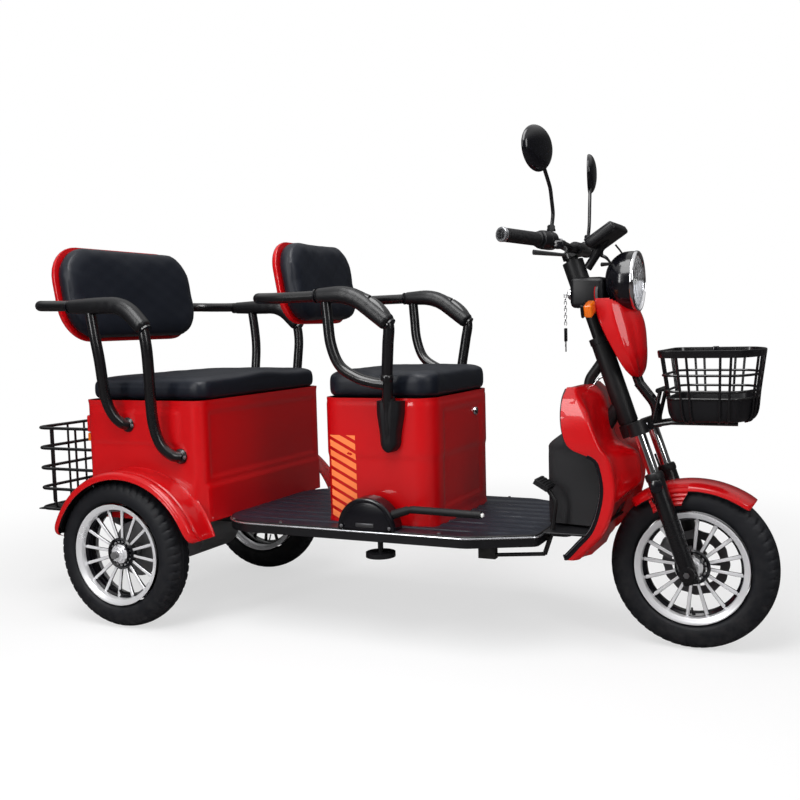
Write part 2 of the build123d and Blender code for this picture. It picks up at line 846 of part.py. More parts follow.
def fork_sliders():
    """Lower fork legs with the front axle and its spacers between them."""
    leg = rod_z(fork_half_spacing, leg_y, -fork_drop - 26, slider_top, slider_radius)
    leg -= rod_z(fork_half_spacing, leg_y, -fork_drop + 90 - seat_gap, slider_top + 1, slider_bore)
    sliders = both_sides(leg)
    reach = fork_half_spacing + slider_radius + 7
    sliders += rod_x(leg_y, -fork_drop, -reach, reach, axle_radius)
    for sign in (-1, 1):
        low, high = sorted((sign * (front_hub_half_width + 0.5), sign * (fork_half_spacing - 10)))
        sliders += rod_x(leg_y, -fork_drop, low, high, 17)
        low, high = sorted((sign * (fork_half_spacing + 10), sign * (reach - 3)))
        sliders += rod_x(leg_y, -fork_drop, low, high, 19)
    return on_head(sliders)


parts["steering_stem"] = steering_stem()
parts["fork_stanchions"] = fork_stanchions()
parts["fork_sliders"] = fork_sliders()

guard_wall = 3
guard_half_width = tyre_width / 2 + 11


def guard_face(inset, depth):
    """Side outline of the front mudguard's band, around the front axle."""
    grown = tyre_radius - 205
    outer = ThreePointArc(
        (front_axle_y - 151, axle_z + 171 + grown - inset),
        (front_axle_y + 4, axle_z + 218 + grown - inset),
        (front_axle_y + 150 - inset, axle_z + 166 + grown - inset),
    )
    inner = ThreePointArc(
        (front_axle_y - 151, axle_z + 171 + grown - inset - depth),
        (front_axle_y + 4, axle_z + 218 + grown - inset - depth),
        (front_axle_y + 150 - inset - depth, axle_z + 166 + grown - inset - depth),
    )
    ends = Line(outer @ 0, inner @ 0) + Line(outer @ 1, inner @ 1)
    return make_face(outer + inner + ends)


def front_mudguard():
    """Curved band over the wheel with a cheek beside each fork leg."""
    band = extrude(Plane.YZ * guard_face(0, guard_wall), 2 * guard_half_width)
    guard = Pos(-guard_half_width, 0, 0) * band
    lip = extrude(Plane.YZ * guard_face(0, 16), guard_wall)
    cheek = extrude(Plane.YZ * guard_face(0, 62), guard_wall)
    cheek &= block(-10, 10, front_axle_y - 2, front_axle_y + 108, 0, 1000)
    leg_station = head_point(fork_half_spacing, leg_y, -fork_drop + 178)
    pad_out = fork_half_spacing - slider_radius - seat_gap
    for sign in (-1, 1):
        edge = sign * (guard_half_width - guard_wall / 2) - guard_wall / 2
        guard += Pos(edge, 0, 0) * (lip + cheek)
        low, high = sorted((sign * (guard_half_width - 1), sign * pad_out))
        guard += rod_x(leg_station[1], leg_station[2], low, high, 9)
    return guard


parts["front_mudguard"] = front_mudguard()

# Handlebar and controls -----------------------------------------------------------------------
bar_tube = 22
bar_x, bar_y, bar_z = head_point(0, 0, stem_top - 3)
bar_half_width = 320
bar_bend_x = 150
grip_end = (bar_half_width, bar_y + 68, bar_z + 44)
grip_start = (bar_bend_x, bar_y - 2, bar_z + 36)


bar_side = [grip_end, grip_start, (86, bar_y - 16, bar_z + 24)]
bar_points = bar_side + mirrored(bar_side)
bar_bends = [30, 30, 30, 30]


def along(start, end, share):
    return tuple(a + (b - a) * share for a, b in zip(start, end))


def handlebar():
    """Swept-back bar held in a clamp on top of the stem."""
    bar = pipe(bar_points, bar_tube, bar_bends)
    clamp = rod_x(bar_y - 16, bar_z + 24, -30, 30, 19)
    clamp += on_head(rod_z(0, 0, stem_top, stem_top + 18, 22))
    return bar + (clamp - on_head(rod_z(0, 0, 200, stem_top + seat_gap, 60)))


def hand_controls():
    """Grip, switch cluster, brake lever and its perch on each side."""
    grip = pipe([along(grip_end, grip_start, -0.04), along(grip_end, grip_start, 0.7)], 34)
    cluster = pipe([along(grip_end, grip_start, 0.69), along(grip_end, grip_start, 0.98)], 46)
    lever = pipe(
        [
            (bar_bend_x + 18, bar_y + 6, bar_z + 34),
            (bar_bend_x + 34, bar_y - 42, bar_z + 14),
            (bar_bend_x + 70, bar_y - 46, bar_z - 2),
            (bar_half_width - 16, bar_y + 2, bar_z + 2),
        ],
        10,
        [12, 16],
    )
    bore = pipe(bar_points, bar_tube + 2 * seat_gap, bar_bends)
    return both_sides(grip + cluster + lever - bore)


parts["handlebar"] = handlebar()
parts["hand_controls"] = hand_controls()

mirror_x = 229
mirror_z = bar_z + 245
mirror_half_width = 65
mirror_half_height = 53.5
mirror_toe = 12


def rear_mirror():
    """Stalk from the switch cluster to an oval mirror head."""
    head_y_place = bar_y + 18
    stalk = pipe(
        [
            (bar_bend_x + 14, bar_y + 3, bar_z + 36 + 23 + seat_gap),
            (bar_bend_x + 12, bar_y - 2, bar_z + 100),
            (bar_bend_x + 26, bar_y, bar_z + 160),
            (mirror_x - 6, head_y_place - 6, mirror_z),
        ],
        10,
        [60, 60],
    )
    oval = Ellipse(mirror_half_width, mirror_half_height)
    face = extrude(oval, 10)
    dome = Pos(0, 0, 10) * extrude(oval, 14, taper=48)
    head = Pos(mirror_x, head_y_place, mirror_z) * Rot(0, 0, mirror_toe) * Rot(90, 0, 0) * (face + dome)
    foot = Pos(bar_bend_x + 14, bar_y + 3, bar_z + 36 + 23 + seat_gap) * extrude(Circle(11), 16)
    return both_sides(stalk + head + foot)


parts["mirrors"] = rear_mirror() - parts["hand_controls"]

display_y = head_y + 20
display_z = head_z + 372


def display_unit():
    """Tilted instrument box on a short arm from the stem cover."""
    case = RectangleRounded(140, 84, 12)
    box = Pos(0, display_y, display_z) * Rot(-33, 0, 0) * Pos(0, 0, -13) * extrude(case, 26)
    arm = pipe([head_point(0, -30, 300), (0, display_y, display_z - 6)], 22)
    stem_space = on_head(rod_z(0, 0, 200, stem_top + 40, 27 + seat_gap))
    return box + (arm - stem_space)


parts["display_unit"] = display_unit()

# Headlight, cowl and signals ---------------------------------------------------------------------
lamp_y = head_y - 45
lamp_z = head_z + 256
lamp_radius = 75
cowl_wall = 3
cowl_back_depth = 7
# Each level: height above the head's middle, half width, then how far ahead of
# the head's middle the cowl's middle, quarter, side and back edge stand.
cowl_levels = [
    (18, 24, 66, 64, 60, 52),
    (46, 50, 78, 72, 56, 34),
    (96, 66, 80, 70, 38, 9),
    (163, 68, 72, 58, 16, -22),
    (226, 56, 38, 28, 0, -36),
    (266, 32, -6, -10, -18, -36),
]


def lamp_bowl(grow):
    """Solid round of the headlight's bowl, grown all round."""
    radius = lamp_radius + grow
    back = ThreePointArc((20, radius), (52 + grow, radius - 14), (76 + grow, 34 + grow))
    sides = Polyline((-grow, 0), (-grow, radius), (20, radius))
    close = Polyline((76 + grow, 34 + grow), (76 + grow, 0), (-grow, 0))
    bowl = revolve(make_face(sides + back + close), Axis.X)
    return Pos(0, lamp_y - 14, lamp_z) * Rot(0, 0, 90) * bowl


def switch_box(grow):
    """Closed housing behind the cowl, round the stem, grown all round."""
    half_width = 44 + grow
    return round_block(
        -half_width, half_width, lamp_y + 62 - grow, head_y + 104 + grow,
        lamp_z - 62 - grow, lamp_z + 14 + grow, 14 + grow,
    )


def headlight_cowl():
    levels = [(head_z + z, w, *(head_y - reach for reach in rest)) for z, w, *rest in cowl_levels]
    return bowed_cover(levels, cowl_wall, True) - lamp_bowl(seat_gap) - switch_box(seat_gap)


def headlight_housing():
    """Lamp bowl, the cowl's back shell and the switch housing round the stem."""
    dish_arc = ThreePointArc((48, 0), (30, lamp_radius - 30), (0, lamp_radius - 5))
    dish_face = make_face(dish_arc + Polyline((0, lamp_radius - 5), (-1, lamp_radius - 5), (-1, 0), (48, 0)))
    dish = Pos(0, lamp_y - 14, lamp_z) * Rot(0, 0, 90) * revolve(dish_face, Axis.X)
    backs = []
    for z, half_width, *_, back in cowl_levels:
        middle = head_y - back + seat_gap + cowl_back_depth / 2
        plate = Pos(0, middle) * Rectangle(2 * half_width - 2, cowl_back_depth)
        backs.append(Pos(0, 0, head_z + z) * plate)
    back_shell = loft(backs, ruled=True)
    whole = lamp_bowl(0) + back_shell + switch_box(0) - dish
    return whole - on_head(rod_z(0, 0, 60, stem_top + 20, 27 + seat_gap))


parts["headlight_cowl"] = headlight_cowl()
parts["headlight_housing"] = headlight_housing()
parts["headlight_lens"] = Pos(0, lamp_y - 14, lamp_z) * (
    extrude(Plane.XZ * Circle(lamp_radius - 5.5), 5)
)


def turn_signal():
    x, y, z = 92, lamp_y + 88, lamp_z - 66
    lamp = Pos(x, y, z) * Rot(0, 20, 0) * fillet(Box(46, 30, 34).edges(), 7)
    stalk = rod_x(y, z + 8, 44 - 4, x, 8)
    return lamp + stalk


parts["turn_signals"] = both_sides(turn_signal()) - parts["headlight_housing"]

# Front carrier and basket ----------------------------------------------------------------------
basket_front_side = front_axle_y - 128
basket_front_middle = front_axle_y - 172
basket_back_y = front_axle_y + front_basket_back
basket_taper = 0.80
basket_centre_y = (basket_front_middle + basket_back_y) / 2


def basket_plan(share):
    """Rounded plan of the basket, shrunk about its middle."""
    half = front_basket_half_width * share
    back, side, middle = (
        basket_centre_y + (y - basket_centre_y) * share
        for y in (basket_back_y, basket_front_side, basket_front_middle)
    )
    outline = Polyline((-half, side), (-half, back), (half, back), (half, side)) + ThreePointArc(
        (half, side), (0, middle), (-half, side)
    )
    return fillet(make_face(outline).vertices(), 26)


def basket_share(z):
    rise = (z - front_basket_floor) / (front_basket_rim - front_basket_floor)
    return basket_taper + (1 - basket_taper) * rise


def basket_ring(z, height, thickness):
    share = basket_share(z)
    plan = basket_plan(share)
    ring = extrude(plan, height) - extrude(offset(plan, amount=-thickness), height)
    return Pos(0, 0, z) * ring


def front_basket():
    """Rim band, two wire courses, uprights and a closed lower tray."""
    basket = basket_ring(front_basket_rim - 18, 18, 5)
    for z in (front_basket_floor + 110, front_basket_floor + 72):
        basket += basket_ring(z, 6, 6)
    tray_top = front_basket_floor + 58
    outer = loft([
        Pos(0, 0, front_basket_floor) * basket_plan(basket_taper),
        Pos(0, 0, tray_top) * basket_plan(basket_share(tray_top)),
    ])
    inner = loft([
        Pos(0, 0, front_basket_floor + 3) * offset(basket_plan(basket_share(front_basket_floor + 3)), amount=-3),
        Pos(0, 0, tray_top + 1) * offset(basket_plan(basket_share(tray_top + 1)), amount=-3),
    ])
    basket += outer - inner
    half = front_basket_half_width - 4
    low_z, high_z = front_basket_floor + 30, front_basket_rim - 8
    ring_places = [(x, basket_back_y - 4) for x in (-88, -38, 38, 88)]
    ring_places += [(x, basket_front_middle + 6) for x in (-38, 38)]
    ring_places += [(sign * half, y) for sign in (-1, 1) for y in (
        basket_back_y - 26, basket_back_y - 78, basket_back_y - 122, basket_front_side + 14)]
    for x, y in ring_places:
        ends = []
        for z in (low_z, high_z):
            share = basket_share(z)
            ends.append((x * share, basket_centre_y + (y - basket_centre_y) * share, z))
        basket += pipe(ends, 6)
    return basket


parts["front_basket"] = front_basket()

carrier_x = 52
carrier_z = front_basket_floor - 5.3


def basket_carrier():
    """Support tube behind the cowl, two floor rails and two braces."""
    clamp_front = head_point(0, leg_y - 16, (clamp_low + lower_clamp_top) / 2)
    y, z = clamp_front[1], clamp_front[2]
    tube = pipe([(0, head_y - 58, head_z + 6), (0, y - 16, z + 44), (0, y - 14, z - 8)], 26, 60)
    rails = []
    for sign in (-1, 1):
        x = sign * carrier_x
        floor_line = [
            (x, y - 12, carrier_z - 8),
            (x, y - 60, carrier_z),
            (x, basket_front_middle + 60, carrier_z),
        ]
        rails.append(pipe(floor_line, 10, 40))
        brace_x = x - sign * 15
        rails.append(pipe([(brace_x, y - 12, carrier_z - 8), (brace_x, basket_back_y + 7, carrier_z + 76)], 10))
    bar = rod_x(y - 12, carrier_z - 8, -carrier_x - 6, carrier_x + 6, 8)
    brace_bar = rod_x(basket_back_y + 9, carrier_z + 78, -carrier_x - 5, carrier_x + 5, 6)
    whole = tube + bar + brace_bar
    for rail in rails:
        whole += rail
    return whole


parts["basket_carrier"] = basket_carrier() - parts["steering_stem"]

# Written parts --------------------------------------------------------------------------------
front_reach = front_axle_y - tyre_radius
middle_y = (front_reach + rear_basket_reach) / 2
os.makedirs("parts", exist_ok=True)
for name, shape in parts.items():
    export_step(Pos(0, -middle_y, 0) * shape, "parts/" + name + ".step")
print("centred by", middle_y, "head", head_y - middle_y, head_z, "front axle", front_axle_y - middle_y)
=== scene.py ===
import math
import bmesh
import bpy
import numpy as np
from mathutils import Matrix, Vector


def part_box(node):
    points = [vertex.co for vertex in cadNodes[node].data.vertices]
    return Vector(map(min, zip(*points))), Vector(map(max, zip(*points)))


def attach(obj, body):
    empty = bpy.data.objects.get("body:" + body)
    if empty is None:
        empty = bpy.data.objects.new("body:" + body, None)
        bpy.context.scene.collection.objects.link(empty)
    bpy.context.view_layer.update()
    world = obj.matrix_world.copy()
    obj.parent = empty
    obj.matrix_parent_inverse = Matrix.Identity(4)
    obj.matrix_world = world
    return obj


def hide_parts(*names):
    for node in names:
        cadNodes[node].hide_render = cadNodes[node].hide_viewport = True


# Looks of an open three-seat electric tricycle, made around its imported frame.
# Metres; -Y is forward, +Z is up and +X is the rider's left.
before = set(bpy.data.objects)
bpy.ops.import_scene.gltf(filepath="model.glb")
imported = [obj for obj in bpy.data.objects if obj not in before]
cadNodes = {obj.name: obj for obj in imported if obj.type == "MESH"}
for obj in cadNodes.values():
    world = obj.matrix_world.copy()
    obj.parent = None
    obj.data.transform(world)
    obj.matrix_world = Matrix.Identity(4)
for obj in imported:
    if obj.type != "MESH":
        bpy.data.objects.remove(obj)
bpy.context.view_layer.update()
print("frame loaded:", len(cadNodes), "nodes")


# shape helpers
def boxOf(node):
    low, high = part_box(node)
    return np.array(low), np.array(high)


def unit(vectors):
    vectors = np.asarray(vectors, float)
    return vectors / np.maximum(np.linalg.norm(vectors, axis=-1, keepdims=True), 1e-12)


def smoothStep(value, low, high):
    # 0 below low, 1 above high, and an S-shaped cubic between them
    share = np.clip((value - low) / (high - low), 0, 1)
    return share * share * (3 - 2 * share)


def throughPoints(points, count):
    # smooth curve through the points: between two neighbours a cubic whose slopes
    # are half the step from the point before to the point after
    p = np.asarray(points, float)
    around = np.vstack([2 * p[:1] - p[1:2], p, 2 * p[-1:] - p[-2:-1]])
    spans = len(p) - 1
    t = np.linspace(0, spans, count)
    k = np.minimum(t.astype(int), spans - 1)
    f = (t - k)[:, None]
    a, b, c, d = (around[k + step] for step in range(4))
    return b + 0.5 * f * (c - a + f * (2 * a - 5 * b + 4 * c - d + f * (3 * (b - c) + d - a)))


def bentPath(points, radius, step=0.01):
    # straight runs joined by arcs: each corner is replaced by a quadratic blend
    # that starts and ends one tangent length from it
    points = np.asarray(points, float)
    stretch = [points[:1]]
    for before, corner, after in zip(points[:-2], points[1:-1], points[2:]):
        back, ahead = unit(before - corner), unit(after - corner)
        turn = math.pi - math.acos(np.clip(back @ ahead, -1, 1))
        runs = min(np.linalg.norm(before - corner), np.linalg.norm(after - corner))
        tangent = min(radius * math.tan(turn / 2), 0.48 * runs)
        t = np.linspace(0, 1, max(4, int(tangent * 2 / step)))[:, None]
        start, end = corner + back * tangent, corner + ahead * tangent
        stretch.append((1 - t) ** 2 * start + 2 * t * (1 - t) * corner + t * t * end)
    stretch.append(points[-1:])
    return np.vstack(stretch)


def ring(radius, count, flat=1.0):
    # circle or ellipse in its own plane
    angle = np.linspace(0, 2 * math.pi, count, endpoint=False)
    return np.stack([radius * np.cos(angle), radius * flat * np.sin(angle)], -1)


def roundedOutline(halfA, halfB, power, count):
    # superellipse: |a / halfA| to the power plus |b / halfB| to the power is one
    angle = np.linspace(0, 2 * math.pi, count, endpoint=False)
    c, s = np.cos(angle), np.sin(angle)
    reach = (np.abs(c) ** power + np.abs(s) ** power) ** (-1 / power)
    return np.stack([halfA * c * reach, halfB * s * reach], -1)


def roundedRect(halfA, halfB, corner, count):
    # rectangle with quarter-circle corners, its points evenly spaced along the line
    along = np.linspace(0, math.pi / 2, 9)
    arc = np.stack([np.cos(along), np.sin(along)], -1) * corner
    quarters = []
    for number, (a, b) in enumerate(((1, 1), (-1, 1), (-1, -1), (1, -1))):
        c, s = math.cos(number * math.pi / 2), math.sin(number * math.pi / 2)
        turned = arc @ np.array([[c, s], [-s, c]])
        quarters.append(turned + [a * (halfA - corner), b * (halfB - corner)])
    return evenly(np.vstack(quarters), count)


def evenly(line, count, closed=True):
    # line cut again into equal steps; a closed one comes back to its start
    if closed:
        line = np.vstack([line, line[:1]])
    gone = np.concatenate([[0], np.cumsum(np.linalg.norm(np.diff(line, axis=0), axis=1))])
    wanted = np.linspace(0, gone[-1], count, endpoint=not closed)
    return np.stack([np.interp(wanted, gone, line[:, axis]) for axis in range(line.shape[1])], -1)


def sweep(path, section, across=(1, 0, 0), closed=False):
    # a section in its own plane carried along the path, square to it: its first
    # axis is the across direction made square to the path, its second one the
    # cross product of the path's direction and the first
    path, across = np.asarray(path, float), np.asarray(across, float)
    if closed:
        direction = unit(np.roll(path, -1, 0) - np.roll(path, 1, 0))
    else:
        direction = unit(np.gradient(path, axis=0))
    side = unit(across - direction * (direction @ across)[:, None])
    rise = np.cross(direction, side)
    section = np.asarray(section, float)
    if section.ndim == 2:
        section = np.broadcast_to(section, (len(path),) + section.shape)
    return path[:, None] + section[..., :1] * side[:, None] + section[..., 1:] * rise[:, None]


def turned(profile, centre, axis, count):
    # a profile of (radius, place along the axis) turned all the way round the axis
    axis = unit(axis)
    first = unit(np.cross(axis, (0, 0, 1) if abs(axis[2]) < 0.9 else (0, 1, 0)))
    second = np.cross(axis, first)
    angle = np.linspace(0, 2 * math.pi, count, endpoint=False)[:, None, None]
    spoke = np.cos(angle) * first + np.sin(angle) * second
    profile = np.asarray(profile, float)
    return np.asarray(centre) + profile[None, :, :1] * spoke + profile[None, :, 1:] * axis


def gridFaces(rows, columns, wrapRows, wrapColumns):
    # quads between neighbouring rows and columns of points numbered row by row
    i, j = np.meshgrid(
        np.arange(rows if wrapRows else rows - 1),
        np.arange(columns if wrapColumns else columns - 1), indexing="ij",
    )
    nextI, nextJ = (i + 1) % rows, (j + 1) % columns
    corners = (i * columns + j, i * columns + nextJ, nextI * columns + nextJ, nextI * columns + j)
    return np.stack(corners, -1).reshape(-1, 4)


def newObject(name, data):
    made = bpy.data.objects.new(name, data)
    bpy.context.scene.collection.objects.link(made)
    return made


class Piece:
    # gathers surfaces, each with its finish, and makes them one object
    def __init__(self, name):
        self.name = name
        self.points, self.faces, self.finishes, self.faceFinish = [], [], [], []
        self.count = 0

    def add(self, points, faces, kind):
        points = np.asarray(points, float).reshape(-1, 3)
        if kind not in self.finishes:
            self.finishes.append(kind)
        self.points.append(points)
        self.faces += [[corner + self.count for corner in face] for face in faces]
        self.faceFinish += [self.finishes.index(kind)] * len(faces)
        self.count += len(points)

    def grid(self, points, kind, wrapRows=False, wrapColumns=False, capped=False):
        rows, columns = points.shape[:2]
        faces = gridFaces(rows, columns, wrapRows, wrapColumns).tolist()
        if capped:  # a flat lid on the first and the last row
            faces.append(list(range(columns)))
            faces.append(list(range((rows - 1) * columns, rows * columns)))
        self.add(points, faces, kind)

    def tube(self, path, radius, kind, count=12, across=(1, 0, 0), closed=False):
        radius = np.broadcast_to(radius, len(path))
        section = ring(1, count)[None] * np.asarray(radius)[:, None, None]
        points = sweep(path, section, across, closed)
        self.grid(points, kind, wrapRows=closed, wrapColumns=True, capped=not closed)

    def turn(self, profile, centre, axis, kind, count=48, closed=False):
        points = turned(profile, centre, axis, count)
        self.grid(points, kind, wrapRows=True, wrapColumns=closed)

    def block(self, low, high, radius, kind, frameOf=None, segments=3):
        # box with rounded edges, or the same set in a frame of its own
        shape = bmesh.new()
        bmesh.ops.create_cube(shape, size=1)
        low, high = np.asarray(low, float), np.asarray(high, float)
        bmesh.ops.transform(
            shape, matrix=Matrix.Translation((low + high) / 2) @ Matrix.Diagonal((*(high - low), 1)),
            verts=shape.verts,
        )
        bmesh.ops.bevel(
            shape, geom=shape.edges[:], offset=radius, segments=segments, affect="EDGES", profile=0.5
        )
        if frameOf is not None:
            bmesh.ops.transform(shape, matrix=frameOf, verts=shape.verts)
        faces = [[v.index for v in f.verts] for f in shape.faces]
        self.add([tuple(v.co) for v in shape.verts], faces, kind)
        shape.free()

    def bolt(self, centre, axis, radius, kind):
        # low hexagon with a flat washer under it
        head = [(0, 0.9 * radius), (0.9 * radius, 0.85 * radius), (radius, 0.1 * radius)]
        self.turn(head, centre, axis, kind, 6)
        self.turn([(0, 0.2 * radius), (1.35 * radius, 0.18 * radius), (1.35 * radius, -0.1 * radius)],
                  centre, axis, kind, 16)

    def make(self, body, replaces=(), crease=38, recalculate=True):
        mesh = bpy.data.meshes.new(self.name)
        mesh.from_pydata(np.vstack(self.points).tolist(), [], self.faces)
        mesh.polygons.foreach_set("material_index", self.faceFinish)
        for kind in self.finishes:
            mesh.materials.append(finish[kind])
        work = bmesh.new()
        work.from_mesh(mesh)
        bmesh.ops.remove_doubles(work, verts=work.verts, dist=2e-6)
        bmesh.ops.dissolve_degenerate(work, edges=work.edges, dist=1e-6)
        if recalculate:
            bmesh.ops.recalc_face_normals(work, faces=work.faces)
        work.to_mesh(mesh)
        work.free()
        mesh.polygons.foreach_set("use_smooth", [True] * len(mesh.polygons))
        mesh.set_sharp_from_angle(angle=math.radians(crease))
        mesh.update()
        made = newObject(self.name, mesh)
        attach(made, body)
        if replaces:
            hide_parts(*replaces)
        return made


def shell(piece, outer, inner, outerFinish, innerFinish=None, wrapColumns=False):
    # outer and inner surface of one thin panel, and the rims between them
    piece.grid(outer, outerFinish, wrapColumns=wrapColumns)
    piece.grid(inner, innerFinish or outerFinish, wrapColumns=wrapColumns)
    for row in (0, -1):
        piece.grid(np.stack([outer[row], inner[row]]), outerFinish, wrapColumns=wrapColumns)
    if not wrapColumns:
        for column in (0, -1):
            piece.grid(np.stack([outer[:, column], inner[:, column]]), outerFinish)


# materials
def newGroup(name, inputs, outputs):
    tree = bpy.data.node_groups.new(name, "ShaderNodeTree")
    for label, kind, value in inputs:
        made = tree.interface.new_socket(name=label, in_out="INPUT", socket_type="NodeSocket" + kind)
        if value is not None:
            made.default_value = value
    for label, kind in outputs:
        tree.interface.new_socket(name=label, in_out="OUTPUT", socket_type="NodeSocket" + kind)
    return tree, tree.nodes.new("NodeGroupInput"), tree.nodes.new("NodeGroupOutput")


def feed(tree, socket, value):
    if isinstance(value, bpy.types.NodeSocket):
        tree.links.new(value, socket)
    else:
        socket.default_value = value


def put(tree, kind, settings=None, **inputs):
    # one node with its settings, and its inputs as values or as links
    node = tree.nodes.new("ShaderNode" + kind)
    for key, value in (settings or {}).items():
        setattr(node, key, value)
    for key, value in inputs.items():
        socket = node.inputs[int(key[1:])] if key[0] == "i" and key[1:].isdigit() else node.inputs[key]
        feed(tree, socket, value)
    return node


def mathNode(tree, operation, first, second):
    return put(tree, "Math", {"operation": operation}, i0=first, i1=second).outputs[0]


def mixColour(tree, factor, first, second):
    node = put(tree, "Mix", {"data_type": "RGBA"})
    for index, value in ((0, factor), (6, first), (7, second)):
        feed(tree, node.inputs[index], value)
    return node.outputs[2]


def mottleGroup():
    # slow cloudy change of colour and roughness, with a fine speckle
    tree, given, result = newGroup(
        "Mottle",
        [("Vector", "Vector", None), ("Color", "Color", (0.5, 0.5, 0.5, 1)), ("Vary", "Float", 0.1),
         ("Scale", "Float", 12.0), ("Roughness", "Float", 0.4), ("RoughVary", "Float", 0.1)],
        [("Color", "Color"), ("Roughness", "Float")],
    )
    cloud = put(tree, "TexNoise", Vector=given.outputs["Vector"], Scale=given.outputs["Scale"], Detail=5.0)
    fineScale = mathNode(tree, "MULTIPLY", given.outputs["Scale"], 22.0)
    speck = put(tree, "TexNoise", Vector=given.outputs["Vector"], Scale=fineScale, Detail=2.0)
    both = mathNode(tree, "ADD", mathNode(tree, "MULTIPLY", cloud.outputs[0], 0.65),
                    mathNode(tree, "MULTIPLY", speck.outputs[0], 0.35))
    swing = mathNode(tree, "MULTIPLY", mathNode(tree, "SUBTRACT", both, 0.5), 2.0)
    gain = mathNode(tree, "ADD", mathNode(tree, "MULTIPLY", swing, given.outputs["Vary"]), 1.0)
    shade = put(tree, "VectorMath", {"operation": "SCALE"}, i0=given.outputs["Color"])
    tree.links.new(gain, shade.inputs["Scale"])
    rough = mathNode(tree, "ADD", mathNode(tree, "MULTIPLY", swing, given.outputs["RoughVary"]),
                     given.outputs["Roughness"])
    tree.links.new(shade.outputs[0], result.inputs["Color"])
    tree.links.new(rough, result.inputs["Roughness"])
    return tree


def grainGroup():
    # pebbled skin: rounded cells with a little noise over them
    tree, given, result = newGroup(
        "Grain", [("Vector", "Vector", None), ("Scale", "Float", 600.0), ("Soft", "Float", 0.5)],
        [("Height", "Float")],
    )
    cells = put(tree, "TexVoronoi", {"feature": "SMOOTH_F1"}, Vector=given.outputs["Vector"],
                Scale=given.outputs["Scale"], Smoothness=given.outputs["Soft"])
    noiseScale = mathNode(tree, "MULTIPLY", given.outputs["Scale"], 0.4)
    noise = put(tree, "TexNoise", Vector=given.outputs["Vector"], Scale=noiseScale, Detail=3.0)
    high = mathNode(tree, "SUBTRACT", mathNode(tree, "MULTIPLY", noise.outputs[0], 0.8), cells.outputs[0])
    tree.links.new(high, result.inputs["Height"])
    return tree


def dustGroup():
    # pale road dust, strongest near the ground and broken up by noise
    tree, given, result = newGroup(
        "Dust",
        [("Vector", "Vector", None), ("Color", "Color", (0.5, 0.5, 0.5, 1)),
         ("Dust", "Color", (0.3, 0.27, 0.24, 1)), ("Top", "Float", 0.45), ("Amount", "Float", 0.3)],
        [("Color", "Color"), ("Mask", "Float")],
    )
    place = put(tree, "SeparateXYZ", Vector=given.outputs["Vector"])
    low = mathNode(tree, "SUBTRACT", 1.0, mathNode(tree, "DIVIDE", place.outputs[2], given.outputs["Top"]))
    cloud = put(tree, "TexNoise", Vector=given.outputs["Vector"], Scale=38.0, Detail=6.0, Roughness=0.65)
    patch = put(tree, "MapRange", Value=cloud.outputs[0], i1=0.42, i2=0.72)
    mask = mathNode(tree, "MULTIPLY", mathNode(tree, "MAXIMUM", low, 0.0), patch.outputs[0])
    mask = mathNode(tree, "MINIMUM", mathNode(tree, "MULTIPLY", mask, given.outputs["Amount"]), 1.0)
    colour = mixColour(tree, mask, given.outputs["Color"], given.outputs["Dust"])
    tree.links.new(colour, result.inputs["Color"])
    tree.links.new(mask, result.inputs["Mask"])
    return tree


def brushGroup():
    # fine turned or brushed lines: noise drawn out along two of the three axes
    tree, given, result = newGroup(
        "Brush", [("Vector", "Vector", None), ("Stretch", "Vector", (900.0, 40.0, 40.0))],
        [("Height", "Float")],
    )
    drawn = put(tree, "VectorMath", {"operation": "MULTIPLY"}, i0=given.outputs["Vector"],
                i1=given.outputs["Stretch"])
    lines = put(tree, "TexNoise", Vector=drawn.outputs[0], Scale=1.0, Detail=4.0)
    tree.links.new(lines.outputs[0], result.inputs["Height"])
    return tree


mottle, grain, dust, brush = mottleGroup(), grainGroup(), dustGroup(), brushGroup()


def useGroup(tree, group, **inputs):
    node = tree.nodes.new("ShaderNodeGroup")
    node.node_tree = group
    for key, value in inputs.items():
        feed(tree, node.inputs[key], value)
    return node


